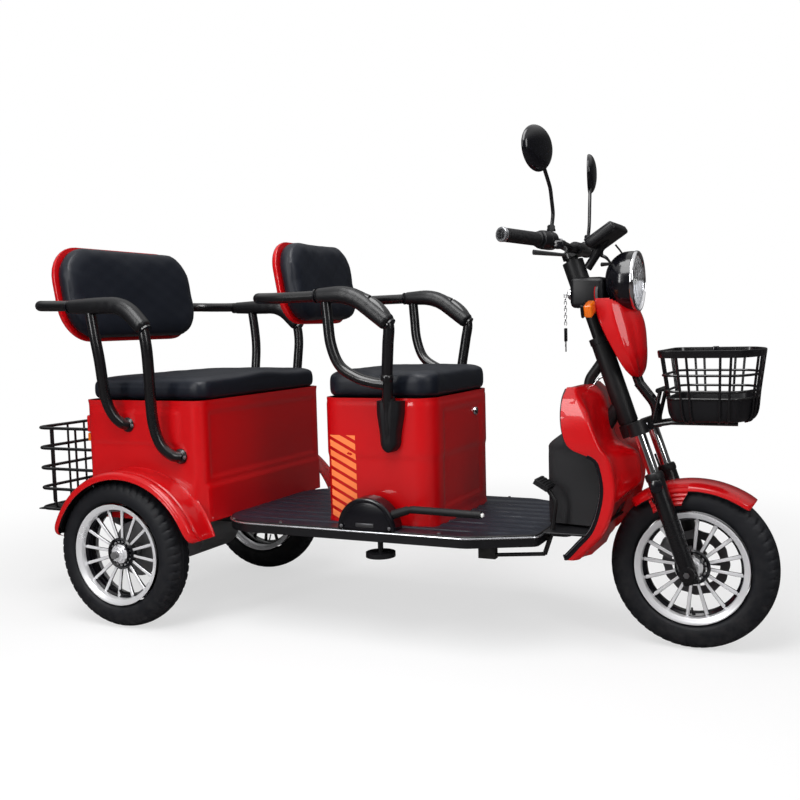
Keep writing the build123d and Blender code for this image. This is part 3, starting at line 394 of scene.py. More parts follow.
def newFinish(name, look):
    # one Principled shader: colour and roughness through the mottle, relief through
    # a bump of grain or brushed lines, and everything uniform on its own sockets
    material = bpy.data.materials.new(name)
    material.use_nodes = True
    tree = material.node_tree
    tree.nodes.clear()
    out = tree.nodes.new("ShaderNodeOutputMaterial")
    shader = tree.nodes.new("ShaderNodeBsdfPrincipled")
    tree.links.new(shader.outputs[0], out.inputs[0])
    place = tree.nodes.new("ShaderNodeTexCoord").outputs["Object"]
    base = useGroup(
        tree, mottle, Vector=place, Color=(*look["colour"], 1), Vary=look.get("vary", 0.08),
        Scale=look.get("scale", 14.0), Roughness=look["rough"], RoughVary=look.get("roughVary", 0.06),
    )
    colour, rough = base.outputs["Color"], base.outputs["Roughness"]
    if look.get("dust"):
        dusty = useGroup(tree, dust, Vector=place, Color=colour, Amount=look["dust"],
                         Top=look.get("dustTop", 0.45))
        colour = dusty.outputs["Color"]
        rough = mathNode(tree, "ADD", rough, mathNode(tree, "MULTIPLY", dusty.outputs["Mask"], 0.25))
    tree.links.new(colour, shader.inputs["Base Color"])
    tree.links.new(rough, shader.inputs["Roughness"])
    if look.get("grain"):
        high = useGroup(tree, grain, Vector=place, Scale=look["grain"],
                        Soft=look.get("soft", 0.5)).outputs[0]
    elif look.get("brush"):
        high = useGroup(tree, brush, Vector=place, Stretch=look["brush"]).outputs[0]
    else:
        high = put(tree, "TexNoise", Vector=place, Scale=look.get("peel", 240.0), Detail=2.0).outputs[0]
    relief = put(tree, "Bump", Height=high, Strength=look.get("relief", 0.05),
                 Distance=look.get("depth", 0.0006))
    tree.links.new(relief.outputs[0], shader.inputs["Normal"])
    for socket, key in (("Metallic", "metal"), ("Coat Weight", "coat"), ("Coat Roughness", "coatRough"),
                        ("Sheen Weight", "sheen"), ("IOR", "ior"), ("Specular IOR Level", "specular"),
                        ("Transmission Weight", "clear"), ("Alpha", "alpha")):
        if key in look:
            shader.inputs[socket].default_value = look[key]
    material.diffuse_color = (*look["colour"], 1)
    return material


looks = {
    "redPaint": dict(colour=(0.5, 0.0008, 0.003), rough=0.36, roughVary=0.03, vary=0.06, scale=5.0,
                     specular=0.2, coat=0.72, coatRough=0.03, relief=0.03, peel=160.0),
    "tubeBlack": dict(colour=(0.004, 0.004, 0.005), rough=0.28, vary=0.2, coat=0.5, coatRough=0.12,
                      relief=0.06, peel=900.0),
    "frameBlack": dict(colour=(0.006, 0.006, 0.007), rough=0.42, specular=0.4, vary=0.25, dust=0.12,
                       relief=0.08, peel=700.0),
    "leather": dict(colour=(0.003, 0.0052, 0.0115), specular=0.42, rough=0.42, roughVary=0.07, vary=0.18,
                    scale=9.0, grain=620.0, relief=0.34, depth=0.0005, sheen=0.02),
    "leatherSide": dict(colour=(0.005, 0.0052, 0.0065), specular=0.5, rough=0.34, roughVary=0.07, vary=0.18,
                        grain=620.0, relief=0.3, depth=0.0005),
    "plasticBlack": dict(colour=(0.006, 0.006, 0.0075), specular=0.42, rough=0.38, vary=0.15, grain=1100.0,
                         relief=0.1, depth=0.0003),
    "plasticSmooth": dict(colour=(0.004, 0.004, 0.006), rough=0.18, vary=0.12, relief=0.03, coat=0.3,
                          coatRough=0.08),
    "plasticGrey": dict(colour=(0.018, 0.018, 0.02), specular=0.4, rough=0.5, vary=0.12, grain=900.0,
                        relief=0.16, depth=0.0004),
    "matBlack": dict(colour=(0.006, 0.009, 0.019), specular=0.4, rough=0.4, roughVary=0.09, vary=0.22,
                     dust=0.06, dustTop=0.6, grain=800.0, relief=0.2, depth=0.0004),
    "rubber": dict(colour=(0.006, 0.006, 0.007), specular=0.35, rough=0.52, vary=0.15, grain=1300.0,
                   relief=0.18, depth=0.0003),
    "tyreRubber": dict(colour=(0.0065, 0.0072, 0.01), specular=0.32, rough=0.54, roughVary=0.08, vary=0.2,
                       scale=40.0, dust=0.05, dustTop=0.42, grain=1600.0, relief=0.14, depth=0.0003),
    "polished": dict(colour=(0.84, 0.84, 0.86), rough=0.26, roughVary=0.05, vary=0.03, metal=0.45,
                     brush=(60.0, 700.0, 700.0), relief=0.03),
    "spokeFace": dict(colour=(0.86, 0.86, 0.88), rough=0.3, vary=0.04, metal=0.4,
                      brush=(60.0, 500.0, 500.0), relief=0.05),
    "chrome": dict(colour=(0.9, 0.9, 0.92), rough=0.06, roughVary=0.02, vary=0.02, metal=1.0, relief=0.01),
    "steel": dict(colour=(0.42, 0.42, 0.44), rough=0.34, vary=0.12, metal=1.0, brush=(300.0, 300.0, 900.0),
                  relief=0.08, dust=0.3),
    "castGrey": dict(colour=(0.22, 0.22, 0.23), rough=0.5, vary=0.15, metal=0.7, grain=700.0, relief=0.2,
                     dust=0.4),
    "silverTrim": dict(colour=(0.62, 0.63, 0.66), rough=0.26, vary=0.05, metal=0.9, relief=0.03),
    "amber": dict(colour=(0.8, 0.15, 0.004), rough=0.14, vary=0.08, coat=0.6, coatRough=0.05, specular=0.6,
                  grain=260.0, relief=0.25, depth=0.0006),
    "redLens": dict(colour=(0.55, 0.006, 0.008), rough=0.12, vary=0.06, coat=0.7, coatRough=0.04,
                    grain=240.0, relief=0.22, depth=0.0006),
    "glass": dict(colour=(0.97, 0.98, 1.0), rough=0.03, roughVary=0.01, vary=0.01, clear=1.0, ior=1.45,
                  relief=0.01),
    "mirrorGlass": dict(colour=(0.8, 0.83, 0.86), rough=0.02, roughVary=0.01, vary=0.01, metal=1.0,
                        relief=0.004),
    "whitePlastic": dict(colour=(0.86, 0.86, 0.84), rough=0.34, vary=0.04, relief=0.03),
    "batteryCase": dict(colour=(0.05, 0.05, 0.055), rough=0.5, vary=0.1, grain=700.0, relief=0.15),
    "stripeOrange": dict(colour=(0.95, 0.2, 0.045), rough=0.38, vary=0.05, coat=0.4, relief=0.02),
    "bulbGlass": dict(colour=(0.85, 0.86, 0.8), rough=0.12, vary=0.02, coat=1.0, relief=0.01),
    "leverGrey": dict(colour=(0.1, 0.1, 0.105), rough=0.35, vary=0.08, metal=0.8, relief=0.04),
    "discSteel": dict(colour=(0.2, 0.2, 0.21), rough=0.38, vary=0.08, metal=1.0, relief=0.05),
    "screen": dict(colour=(0.015, 0.02, 0.026), rough=0.08, vary=0.1, coat=1.0, coatRough=0.02,
                   relief=0.004),
    "greenKnob": dict(colour=(0.02, 0.26, 0.06), rough=0.35, vary=0.05, relief=0.03),
    "redKnob": dict(colour=(0.62, 0.02, 0.02), rough=0.35, vary=0.05, relief=0.03),
}
finish = {name: newFinish(name, look) for name, look in looks.items()}
print("materials made:", len(finish))

# which finish each kept frame node takes
nodesByFinish = {
    "frameBlack": "main_frame foot_brake steering_stem",
    "castGrey": "rear_axle drive_motor",
    "steel": "leaf_springs",
    "plasticBlack": "deck armrest_sockets hand_brake horn display_unit",
    "redPaint": (
        "leg_shield front_seat_box rear_seat_box front_backrest_shell rear_backrest_shell "
        "rear_fenders front_mudguard headlight_cowl"
    ),
    "plasticGrey": "leg_shield_liner",
    "batteryCase": "battery_pack",
    "leather": "front_backrest_pad rear_backrest_pad front_seat rear_seat",
    "tubeBlack": (
        "front_armrest_frame rear_armrest_frame rear_basket fork_sliders handlebar "
        "front_basket basket_carrier"
    ),
    "leatherSide": "front_armrest_pads rear_armrest_pads",
    "redLens": "tail_lamps",
    "chrome": "fork_stanchions",
    "rubber": "hand_controls",
    "plasticSmooth": "mirrors headlight_housing",
    "glass": "headlight_lens",
    "amber": "turn_signals",
    "tyreRubber": "front_tyre rear_tyre_left rear_tyre_right",
    "polished": "front_rim rear_rim_left rear_rim_right",
}
for kind, nodeNames in nodesByFinish.items():
    for nodeName in nodeNames.split():
        cadNodes[nodeName].data.materials.clear()
        cadNodes[nodeName].data.materials.append(finish[kind])


# wheels
tyreLook = dict(
    count=312, grooves=52, shoulder=0.003,
    section=((0.033, 0.144), (0.0385, 0.149), (0.0412, 0.157), (0.0418, 0.165), (0.0405, 0.175),
             (0.0368, 0.186), (0.031, 0.195), (0.022, 0.201), (0.011, 0.204), (0.0, 0.2049)),
)


def makeTyre(node, name, body):
    # radius and half width along the section; sipes are short cosine notches round
    # the shoulder, and two shallow rings run round the tread
    low, high = boxOf(node)
    middle = (low + high) / 2
    half = throughPoints(tyreLook["section"], 26)
    across = np.concatenate([half[:, 0], -half[-2::-1, 0]])
    radius = np.concatenate([half[:, 1], half[-2::-1, 1]])
    angle = np.linspace(0, 2 * math.pi, tyreLook["count"], endpoint=False)[:, None]
    share = np.abs(across)[None] / across.max()
    shoulder = smoothStep(radius[None], 0.179, 0.188) * smoothStep(share, 0.3, 0.45)
    phase = angle * tyreLook["grooves"] + np.sign(across)[None] * 1.2 - share * 2.6
    notch = smoothStep(np.cos(phase), 0.52, 0.8)
    rings = np.exp(-((np.abs(across)[None] - 0.0085) / 0.0012) ** 2) * smoothStep(radius[None], 0.19, 0.198)
    wide = smoothStep(radius[None], 0.15, 0.1515) * (1 - smoothStep(radius[None], 0.1535, 0.155)) * 0.0008
    r = radius[None] - tyreLook["shoulder"] * notch * shoulder - 0.0022 * rings
    x = np.broadcast_to(across[None] + np.sign(across)[None] * wide * 0.4, r.shape)
    points = np.stack([x, r * np.cos(angle), r * np.sin(angle)], -1) + middle
    piece = Piece(name)
    piece.grid(points, "tyreRubber", wrapRows=True)
    # inner wall of the carcass, closing the ring
    inner = np.stack([across * 0.86, radius * 0.985], -1)[::-5]
    back = np.stack([
        np.broadcast_to(inner[None, :, 0], (tyreLook["count"], len(inner))),
        inner[None, :, 1] * np.cos(angle), inner[None, :, 1] * np.sin(angle)], -1) + middle
    ends = np.concatenate([points[:, -1:], back[:, :1]], 1)
    starts = np.concatenate([back[:, -1:], points[:, :1]], 1)
    piece.grid(back, "tyreRubber", wrapRows=True)
    piece.grid(ends, "tyreRubber", wrapRows=True)
    piece.grid(starts, "tyreRubber", wrapRows=True)
    piece.make(body, [node], crease=34)


rimLook = dict(spokes=16, outerSpoke=0.1275, widest=0.039)


def makeRim(node, name, body, outward, discSide=0):
    # the show side points outward; profile pairs are (radius, place along the axle)
    low, high = boxOf(node)
    middle = (low + high) / 2
    axis = (1, 0, 0)
    piece = Piece(name)
    for side in (1, -1):
        lip = [(0.129, 0.0245), (0.13, 0.03), (0.1325, 0.0335), (0.137, 0.0352), (0.1392, 0.0372),
               (0.1398, 0.039), (0.1388, 0.0398), (0.1365, 0.0388), (0.1335, 0.0368), (0.129, 0.035),
               (0.1255, 0.033), (0.1235, 0.027), (0.1235, 0.018), (0.1262, 0.0175)]
        lip = [(r, side * min(x, rimLook["widest"])) for r, x in lip]
        piece.turn(lip, middle, axis, "polished", 144, closed=True)
    barrel = [(0.1262, 0.018), (0.1205, 0.008), (0.12, 0.0), (0.1205, -0.008), (0.1262, -0.018),
              (0.1235, -0.02), (0.1165, -0.009), (0.116, 0.0), (0.1165, 0.009), (0.1235, 0.02)]
    piece.turn(barrel, middle, axis, "plasticSmooth", 96, closed=True)
    face = middle + np.array([outward * 0.01, 0, 0])
    # cast star: tapered slim spokes with a polished crown on a black web
    for number in range(rimLook["spokes"]):
        angle = 2 * math.pi * number / rimLook["spokes"] + 0.1
        direction = np.array([0, math.cos(angle), math.sin(angle)])
        aside = np.array([0, -math.sin(angle), math.cos(angle)])
        along = np.linspace(0, 1, 14)
        reach = 0.026 + (rimLook["outerSpoke"] - 0.026) * along
        halfWide = 0.0034 + 0.0012 * along + 0.0016 * smoothStep(along, 0.9, 1)
        deep = 0.0085 - 0.003 * np.sin(math.pi * along)
        bow = outward * (0.0085 * np.sin(math.pi * along * 0.5 + 0.2) - 0.001)
        spine = face + direction * reach[:, None] + np.array([1.0, 0, 0]) * bow[:, None]
        crown = np.array([[-1.0, 0.0], [-0.72, 0.8], [0.0, 1.0], [0.72, 0.8], [1.0, 0.0]])
        root = np.array([[1.15, -0.4], [1.0, -2.2], [-1.0, -2.2], [-1.15, -0.4]])
        for outline, kind in ((crown, "spokeFace"),
                              (np.vstack([crown[-1:], root, crown[:1]]), "plasticSmooth")):
            section = np.broadcast_to(outline, (14,) + outline.shape)
            points = (spine[:, None] + section[..., :1] * halfWide[:, None, None] * aside
                      + section[..., 1:] * (deep[:, None, None] * 0.36) * np.array([outward, 0, 0]))
            piece.grid(points, kind)
    # black web rings, hub barrel and chrome cap
    for radius, deep in ((0.1215, 0.0105), (0.04, 0.012)):
        web = [(radius, outward * deep), (radius + 0.004, outward * (deep - 0.004)),
               (radius, -outward * 0.008), (radius - 0.005, outward * (deep - 0.004))]
        piece.turn(web, face, axis, "plasticSmooth", 96, closed=True)
    hub = [(0.0, 0.03), (0.0105, 0.03), (0.0125, 0.028), (0.0175, 0.0275), (0.019, 0.0255), (0.0195, 0.02),
           (0.0265, 0.0185), (0.03, 0.016), (0.031, 0.01), (0.031, -0.015), (0.0, -0.015)]
    hub = [(r, outward * (x - 0.006)) for r, x in hub]
    piece.turn(hub[:7], face, axis, "polished", 48)
    piece.turn(hub[6:], face, axis, "plasticSmooth", 48)
    for number in range(5):
        angle = 2 * math.pi * number / 5
        spot = face + np.array([outward * 0.0125, 0.0255 * math.cos(angle), 0.0255 * math.sin(angle)])
        piece.bolt(spot, (outward, 0, 0), 0.0026, "steel")
    back = [(0.0, -0.036), (0.024, -0.036), (0.027, -0.033), (0.03, -0.022), (0.03, -0.004), (0.0, -0.004)]
    piece.turn([(r, outward * x) for r, x in back], middle, axis, "castGrey", 48)
    valve = bentPath([middle + [outward * 0.016, 0, -0.121], middle + [outward * 0.022, 0, -0.112],
                      middle + [outward * 0.028, 0, -0.1]], 0.01)
    piece.tube(valve, 0.0026, "rubber", 10)
    if discSide:
        # brake disc: a ring with a scalloped edge on six arms
        plate = middle + np.array([discSide * 0.0335, 0, 0])
        angle = np.linspace(0, 2 * math.pi, 180, endpoint=False)[:, None]
        profile = np.array([(0.06, 0.0011), (0.082, 0.0011), (0.0825, 0.0), (0.082, -0.0011),
                            (0.06, -0.0011)])
        wave = 1 + 0.018 * np.cos(angle * 12) * np.array([[-0.4, 1, 1, 1, -0.4]])
        radius = profile[None, :, 0] * wave
        ringPoints = np.stack([np.broadcast_to(profile[None, :, 1], radius.shape), radius * np.cos(angle),
                               radius * np.sin(angle)], -1) + plate
        piece.grid(ringPoints, "discSteel", wrapRows=True, wrapColumns=True)
        for number in range(6):
            turn = 2 * math.pi * number / 6
            direction = np.array([0, math.cos(turn), math.sin(turn)])
            arm = plate + direction * np.linspace(0.026, 0.063, 4)[:, None]
            section = roundedOutline(0.0045, 0.0011, 4, 12)
            points = sweep(arm, section, np.cross((1, 0, 0), direction))
            piece.grid(points, "discSteel", wrapColumns=True, capped=True)
    piece.make(body, [node], crease=30)


wheelBodies = (("front_tyre", "front_rim", "front_wheel", "front", -1, 1),
               ("rear_tyre_left", "rear_rim_left", "rear_wheel_left", "rearLeft", 1, 0),
               ("rear_tyre_right", "rear_rim_right", "rear_wheel_right", "rearRight", -1, 0))
for tyreNode, rimNode, body, label, outward, discSide in wheelBodies:
    makeTyre(tyreNode, label + "Tyre", body)
    makeRim(rimNode, label + "Rim", body, outward, discSide)
print("wheels made")


# cushions
def meshPoints(mesh):
    flat = np.empty(len(mesh.vertices) * 3)
    mesh.vertices.foreach_get("co", flat)
    return flat.reshape(-1, 3)


def clothPad(name, points, faces, voxel, cap, pressure, frames=20):
    # remeshed to even cells, swelled by cloth pressure, then held to a largest move
    mesh = bpy.data.meshes.new(name)
    mesh.from_pydata(points.tolist(), [], faces)
    made = newObject(name, mesh)
    remesh = made.modifiers.new("even", "REMESH")
    remesh.mode, remesh.voxel_size = "VOXEL", voxel
    even = bpy.data.meshes.new_from_object(made.evaluated_get(bpy.context.evaluated_depsgraph_get()))
    made.modifiers.clear()
    made.data = even
    before = meshPoints(even)
    cloth = made.modifiers.new("swell", "CLOTH")
    cloth.settings.use_pressure = True
    cloth.settings.uniform_pressure_force = pressure
    cloth.settings.effector_weights.gravity = 0
    cloth.settings.quality = 4
    cloth.point_cache.frame_start, cloth.point_cache.frame_end = 1, frames
    scene = bpy.context.scene
    for frameNumber in range(1, frames + 1):
        scene.frame_set(frameNumber)
    swelled = bpy.data.meshes.new_from_object(made.evaluated_get(bpy.context.evaluated_depsgraph_get()))
    made.modifiers.clear()
    move = meshPoints(swelled) - before
    size = np.linalg.norm(move, axis=1, keepdims=True)
    after = before + move * np.minimum(1, cap / np.maximum(size, 1e-9))
    scene.frame_set(1)
    even.vertices.foreach_set("co", after.reshape(-1))
    even.update()
    return made, after


def smoothed(made, points, rounds=4):
    # a few passes of neighbour averaging on the mesh, as arrays over its edges
    mesh = made.data
    edges = np.empty(len(mesh.edges) * 2, int)
    mesh.edges.foreach_get("vertices", edges)
    edges = edges.reshape(-1, 2)
    degree = np.bincount(edges.reshape(-1), minlength=len(points))[:, None]
    for _ in range(rounds):
        total = np.zeros_like(points)
        np.add.at(total, edges[:, 0], points[edges[:, 1]])
        np.add.at(total, edges[:, 1], points[edges[:, 0]])
        points = 0.5 * points + 0.5 * total / np.maximum(degree, 1)
    return points


def finishPad(made, points, body, nodes, kind):
    mesh = made.data
    mesh.vertices.foreach_set("co", points.reshape(-1))
    mesh.polygons.foreach_set("use_smooth", [True] * len(mesh.polygons))
    mesh.materials.clear()
    mesh.materials.append(finish[kind])
    mesh.update()
    rounder = made.modifiers.new("rounder", "SUBSURF")
    rounder.levels = rounder.render_levels = 1
    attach(made, body)
    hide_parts(*nodes)


def crownedBox(halfX, halfY, low, high, edge, corner, rowCount=15, count=160):
    # closed form of rounded rectangles that shrink towards top and bottom by a
    # quarter circle of the edge radius; the lids are filled with smaller rings
    outline = roundedRect(halfX, halfY, corner, count) / [halfX, halfY]
    rows = []
    quarter = np.linspace(0, math.pi / 2, 6)
    for share in (0.2, 0.45, 0.7, 0.88):
        rows.append((share * (1 - edge / halfX), share * (1 - edge / halfY), low))
    for angle in quarter:
        inset = edge * (1 - math.sin(angle))
        rows.append((1 - inset / halfX, 1 - inset / halfY, low + edge * (1 - math.cos(angle))))
    for share in np.linspace(0, 1, rowCount - 10)[1:-1]:
        rows.append((1, 1, low + edge + (high - low - 2 * edge) * share))
    for angle in quarter[::-1]:
        inset = edge * (1 - math.sin(angle))
        rows.append((1 - inset / halfX, 1 - inset / halfY, high - edge * (1 - math.cos(angle))))
    for share in (0.88, 0.7, 0.45, 0.2):
        rows.append((share * (1 - edge / halfX), share * (1 - edge / halfY), high))
    rows = np.array(rows)
    points = np.stack([outline[None, :, 0] * rows[:, :1] * halfX,
                       outline[None, :, 1] * rows[:, 1:2] * halfY,
                       np.broadcast_to(rows[:, 2:], (len(rows), count))], -1)
    faces = gridFaces(len(rows), count, False, True).tolist()
    faces.append(list(range(count))[::-1])
    faces.append(list(range((len(rows) - 1) * count, len(rows) * count)))
    return points.reshape(-1, 3), faces


def seatCushion(name, node, body, settings):
    # bench or seat: crowned top, sides that swell and a sewn line round the edge
    low, high = boxOf(node)
    middle = (low + high) / 2
    half = (high - low) / 2
    slack = settings["slack"]
    flat, faces = crownedBox(half[0] - slack, half[1] - slack, low[2], high[2] - slack, settings["edge"],
                             settings["corner"])
    flat[:, :2] += middle[:2]
    made, points = clothPad(name, flat, faces, settings["voxel"], settings["cap"], settings["pressure"])
    points = smoothed(made, points, 3)
    # the underside stays flat on its pan
    points[:, 2] = np.maximum(points[:, 2], low[2] + 0.0004)
    u = (points[:, 0] - middle[0]) / half[0]
    v = (points[:, 1] - middle[1]) / half[1]
    w = (points[:, 2] - low[2]) / (high[2] - low[2])
    edge = np.maximum(np.abs(u), np.abs(v))
    # a crowned top, a soft dip where one sits and a bump at the middle of the front
    top = smoothStep(w, 0.55, 0.9)
    points[:, 2] += top * (settings["crown"] * (1 - u * u) * (1 - 0.7 * v * v))
    points[:, 2] -= top * settings["dip"] * np.exp(-((u / 0.5) ** 2 + ((v - 0.1) / 0.55) ** 2))
    if settings.get("bump"):
        points[:, 2] += top * settings["bump"] * np.exp(-((u / 0.34) ** 2)) * smoothStep(-v, 0.55, 0.95)
    # sewn line round the top edge: a narrow trough where the height share is fixed
    side = smoothStep(edge, 0.8, 0.93)
    seam = np.exp(-((points[:, 2] - (high[2] - settings["seam"])) / 0.0016) ** 2) * side
    away = np.stack([np.sign(u) * smoothStep(np.abs(u), 0.8, 1), np.sign(v) * smoothStep(np.abs(v), 0.8, 1),
                     np.zeros_like(u)], -1)
    points -= away * (seam * settings["seamDepth"])[:, None]
    pull = np.sin(u * 9 + 1) * np.sin(v * 7 + 2) * 0.0006 + np.sin(u * 23) * np.cos(v * 17 + 1) * 0.0003
    points[:, 2] += top * pull
    points[:, 0] = np.clip(points[:, 0], low[0] - 0.004, high[0] + 0.004)
    points[:, 1] = np.clip(points[:, 1], low[1] - 0.001, high[1] + 0.003)
    points[:, 2] = np.minimum(points[:, 2], high[2] + 0.012)
    finishPad(made, points, body, [node], "leather")


frontSeatLook = dict(slack=0.004, edge=0.013, corner=0.05, voxel=0.0065, cap=0.007, pressure=4.0,
                     crown=0.006, dip=0.006, seam=0.018, seamDepth=0.0022, fill=0.5, bump=0.0)
rearSeatLook = dict(slack=0.004, edge=0.012, corner=0.04, voxel=0.0075, cap=0.007, pressure=4.0,
                    crown=0.007, dip=0.003, seam=0.017, seamDepth=0.0022, fill=0.5, bump=0.008)
seatCushion("frontCushion", "front_seat", "front_seat_lid", frontSeatLook)
seatCushion("rearCushion", "rear_seat", "rear_seat_lid", rearSeatLook)
print("seat cushions made")


def leaning(degrees):
    # the up and the facing direction of a back that leans
    lean = math.radians(degrees)
    c, s = math.cos(lean), math.sin(lean)
    return np.array([0, s, c]), np.array([0, -c, s])


def backPad(name, node, settings):
    # upright pad leaning back: rounded outline across and up, the front face crowned,
    # a side band between two sewn lines, all in the leaning frame of the pad
    low, high = boxOf(node)
    middle = (low + high) / 2
    upward, facing = leaning(settings["lean"])
    halfX, halfZ, deep = settings["halfX"], settings["halfZ"], settings["deep"]
    slack = settings["slack"]
    flat, faces = crownedBox(halfX - slack, halfZ - slack, -deep / 2, deep / 2 - slack, settings["edge"],
                             settings["corner"])
    made, points = clothPad(name, flat, faces, settings["voxel"], settings["cap"], 4.0)
    points = smoothed(made, points, 3)
    u, v, w = points[:, 0] / halfX, points[:, 1] / halfZ, points[:, 2]
    edge = (np.abs(u) ** settings["power"] + np.abs(v) ** settings["power"]) ** (1 / settings["power"])
    front = smoothStep(w, 0, deep * 0.35)
    points[:, 2] = np.maximum(points[:, 2], -deep / 2)
    points[:, 2] += front * settings["crown"] * (1 - np.clip(edge, 0, 1) ** 2)
    points[:, 2] -= front * settings["dip"] * np.exp(-((u / 0.6) ** 2 + ((v + 0.3) / 0.5) ** 2))
    out = unit(np.stack([u * np.abs(u), v * np.abs(v), np.zeros_like(u)], -1))
    for place in settings["seams"]:
        trough = np.exp(-((w - place) / 0.0015) ** 2) * smoothStep(edge, 0.86, 0.95)
        points -= out * (trough * 0.0018)[:, None]
    wave = np.sin(u * 8 + 2) * np.sin(v * 6) * 0.0007 + np.sin(u * 21 + 1) * np.sin(v * 19) * 0.0003
    points[:, 2] += front * wave
    placed = middle + points[:, :1] * np.array([1.0, 0, 0])
    placed = placed + points[:, 1:2] * upward + points[:, 2:] * facing
    placed[:, 1] = np.clip(placed[:, 1], low[1] - 0.008, high[1] - 0.0005)
    placed[:, 2] = np.clip(placed[:, 2], low[2] - 0.002, high[2] + 0.002)
    finishPad(made, placed, "chassis", [node], "leather")


frontBackLook = dict(centre=(0, 0.1671, 0.9418), lean=10.0, halfX=0.174, halfZ=0.116, deep=0.048,
                     slack=0.004, edge=0.011, corner=0.074, voxel=0.006, cap=0.006, crown=0.004, dip=0.003,
                     power=5.0, seams=(0.01, -0.0145), fill=0.7)
rearBackLook = dict(centre=(0, 0.8471, 0.9308), lean=10.0, halfX=0.285, halfZ=0.143, deep=0.048,
                    slack=0.004, edge=0.011, corner=0.104, voxel=0.007, cap=0.006, crown=0.004, dip=0.003,
                    power=5.0, seams=(0.01, -0.0145), fill=0.7)
backPad("frontBackPad", "front_backrest_pad", frontBackLook)
backPad("rearBackPad", "rear_backrest_pad", rearBackLook)


def backShell(name, node, settings, bosses, bossReach):
    # dished shell: its rim follows the pad, its back shrinks by a quarter ellipse
    upward, facing = leaning(settings["lean"])
    centre = np.array(settings["centre"])
    outline = roundedRect(settings["halfX"] - 0.001, settings["halfZ"] - 0.001, settings["corner"], 144)
    piece = Piece(name)
    t = np.linspace(0, math.pi / 2, 12)
    back = -settings["deep"] / 2 - 0.0006
    rows = [(0.955, back), (0.992, back), (1.0, back - 0.0018)]
    rows += [(1 - 0.14 * (1 - math.cos(a)) ** 1.4, back - 0.0018 - 0.0175 * math.sin(a)) for a in t[1:]]
    rows += [(share * 0.86, back - 0.0193 - 0.0012 * (1 - share)) for share in (0.8, 0.5, 0.2, 0.02)]
    rows = np.array(rows)
    inset = (1 - rows[:, 0]) * settings["halfZ"]
    reach = np.stack([1 - inset / settings["halfX"], 1 - inset / settings["halfZ"]], -1)
    flat = outline[None] * reach[:, None]
    points = (centre + flat[..., :1] * np.array([1.0, 0, 0]) + flat[..., 1:] * upward
              + rows[:, None, 1:] * facing)
    piece.grid(points, "redPaint", wrapColumns=True, capped=True)
    for x, z in bosses:
        start = centre + np.array([x, 0, 0]) + upward * z + facing * (back - 0.012)
        end = np.array([start[0], bossReach, start[2]])
        piece.tube(np.linspace(start, end, 3), 0.012, "plasticBlack", 20)
    piece.make("chassis", [node], crease=40)


backShell("frontBackShell", "front_backrest_shell", frontBackLook, ((-0.07, -0.049), (0.07, -0.049)), 0.231)
backShell("rearBackShell", "rear_backrest_shell", rearBackLook, ((-0.12, -0.0385), (0.12, -0.0385)), 0.9)
print("backrests made")

# armrest pads
armPadLook = dict(halfWide=0.0238, halfHigh=0.0226, bend=0.135)


def armPad(piece, points, sign):
    # padded sleeve over the tube: an upright oval that swells in the middle and
    # closes over its ends, with a sewn line along the underside
    path = bentPath(np.array(points), armPadLook["bend"], 0.006)
    path = evenly(path, 72, False)
    share = np.linspace(0, 1, 72)
    near = (1 - np.minimum(share, 1 - share) / 0.055).clip(0)
    ends = np.minimum(1, np.sqrt(np.clip(1 - near ** 2, 0.12, 1)))
    swell = (0.93 + 0.07 * np.sin(math.pi * share) - 0.1 * smoothStep(share, 0.6, 1.0)) * ends
    outline = roundedOutline(1, 1, 2.5, 28)
    halves = np.array([armPadLook["halfWide"], armPadLook["halfHigh"]])
    section = outline[None] * swell[:, None, None] * halves
    wave = 0.01 * np.sin(share * 60)[:, None, None]
    ripple = 1 + wave * np.exp(-((share - 0.45) / 0.18) ** 2)[:, None, None]
    groove = np.exp(-((outline[:, 0]) / 0.1) ** 2) * (outline[:, 1] < 0)
    section = section * ripple * (1 - 0.06 * groove[None, :, None])
    loop = sweep(path, section, (sign, 0, 0))
    piece.grid(loop, "leatherSide", wrapColumns=True, capped=True)
    for at in (0, -1):
        collar = path[at] + (path[at] - path[1 if at == 0 else -2]) * np.linspace(-0.6, 0.6, 4)[:, None]
        piece.tube(collar, 0.0178, "plasticSmooth", 20)


for label, node, padPoints in (
    ("frontArmPads", "front_armrest_pads", ((0.258, -0.1815, 0.817), (0.258, -0.0795, 0.896),
                                            (0.258, 0.0275, 0.894))),
    ("rearArmPads", "rear_armrest_pads", ((0.376, 0.4795, 0.817), (0.376, 0.5475, 0.885),
                                          (0.376, 0.7375, 0.885))),
):
    piece = Piece(label)
    for sign in (1, -1):
        armPad(piece, np.array(padPoints) * [sign, 1, 1], sign)
    made = piece.make("chassis", [node], crease=60)


armFrameLook = dict(frontTube=0.0143, frontPost=0.014, rearTube=0.0148, rearPost=0.0146)


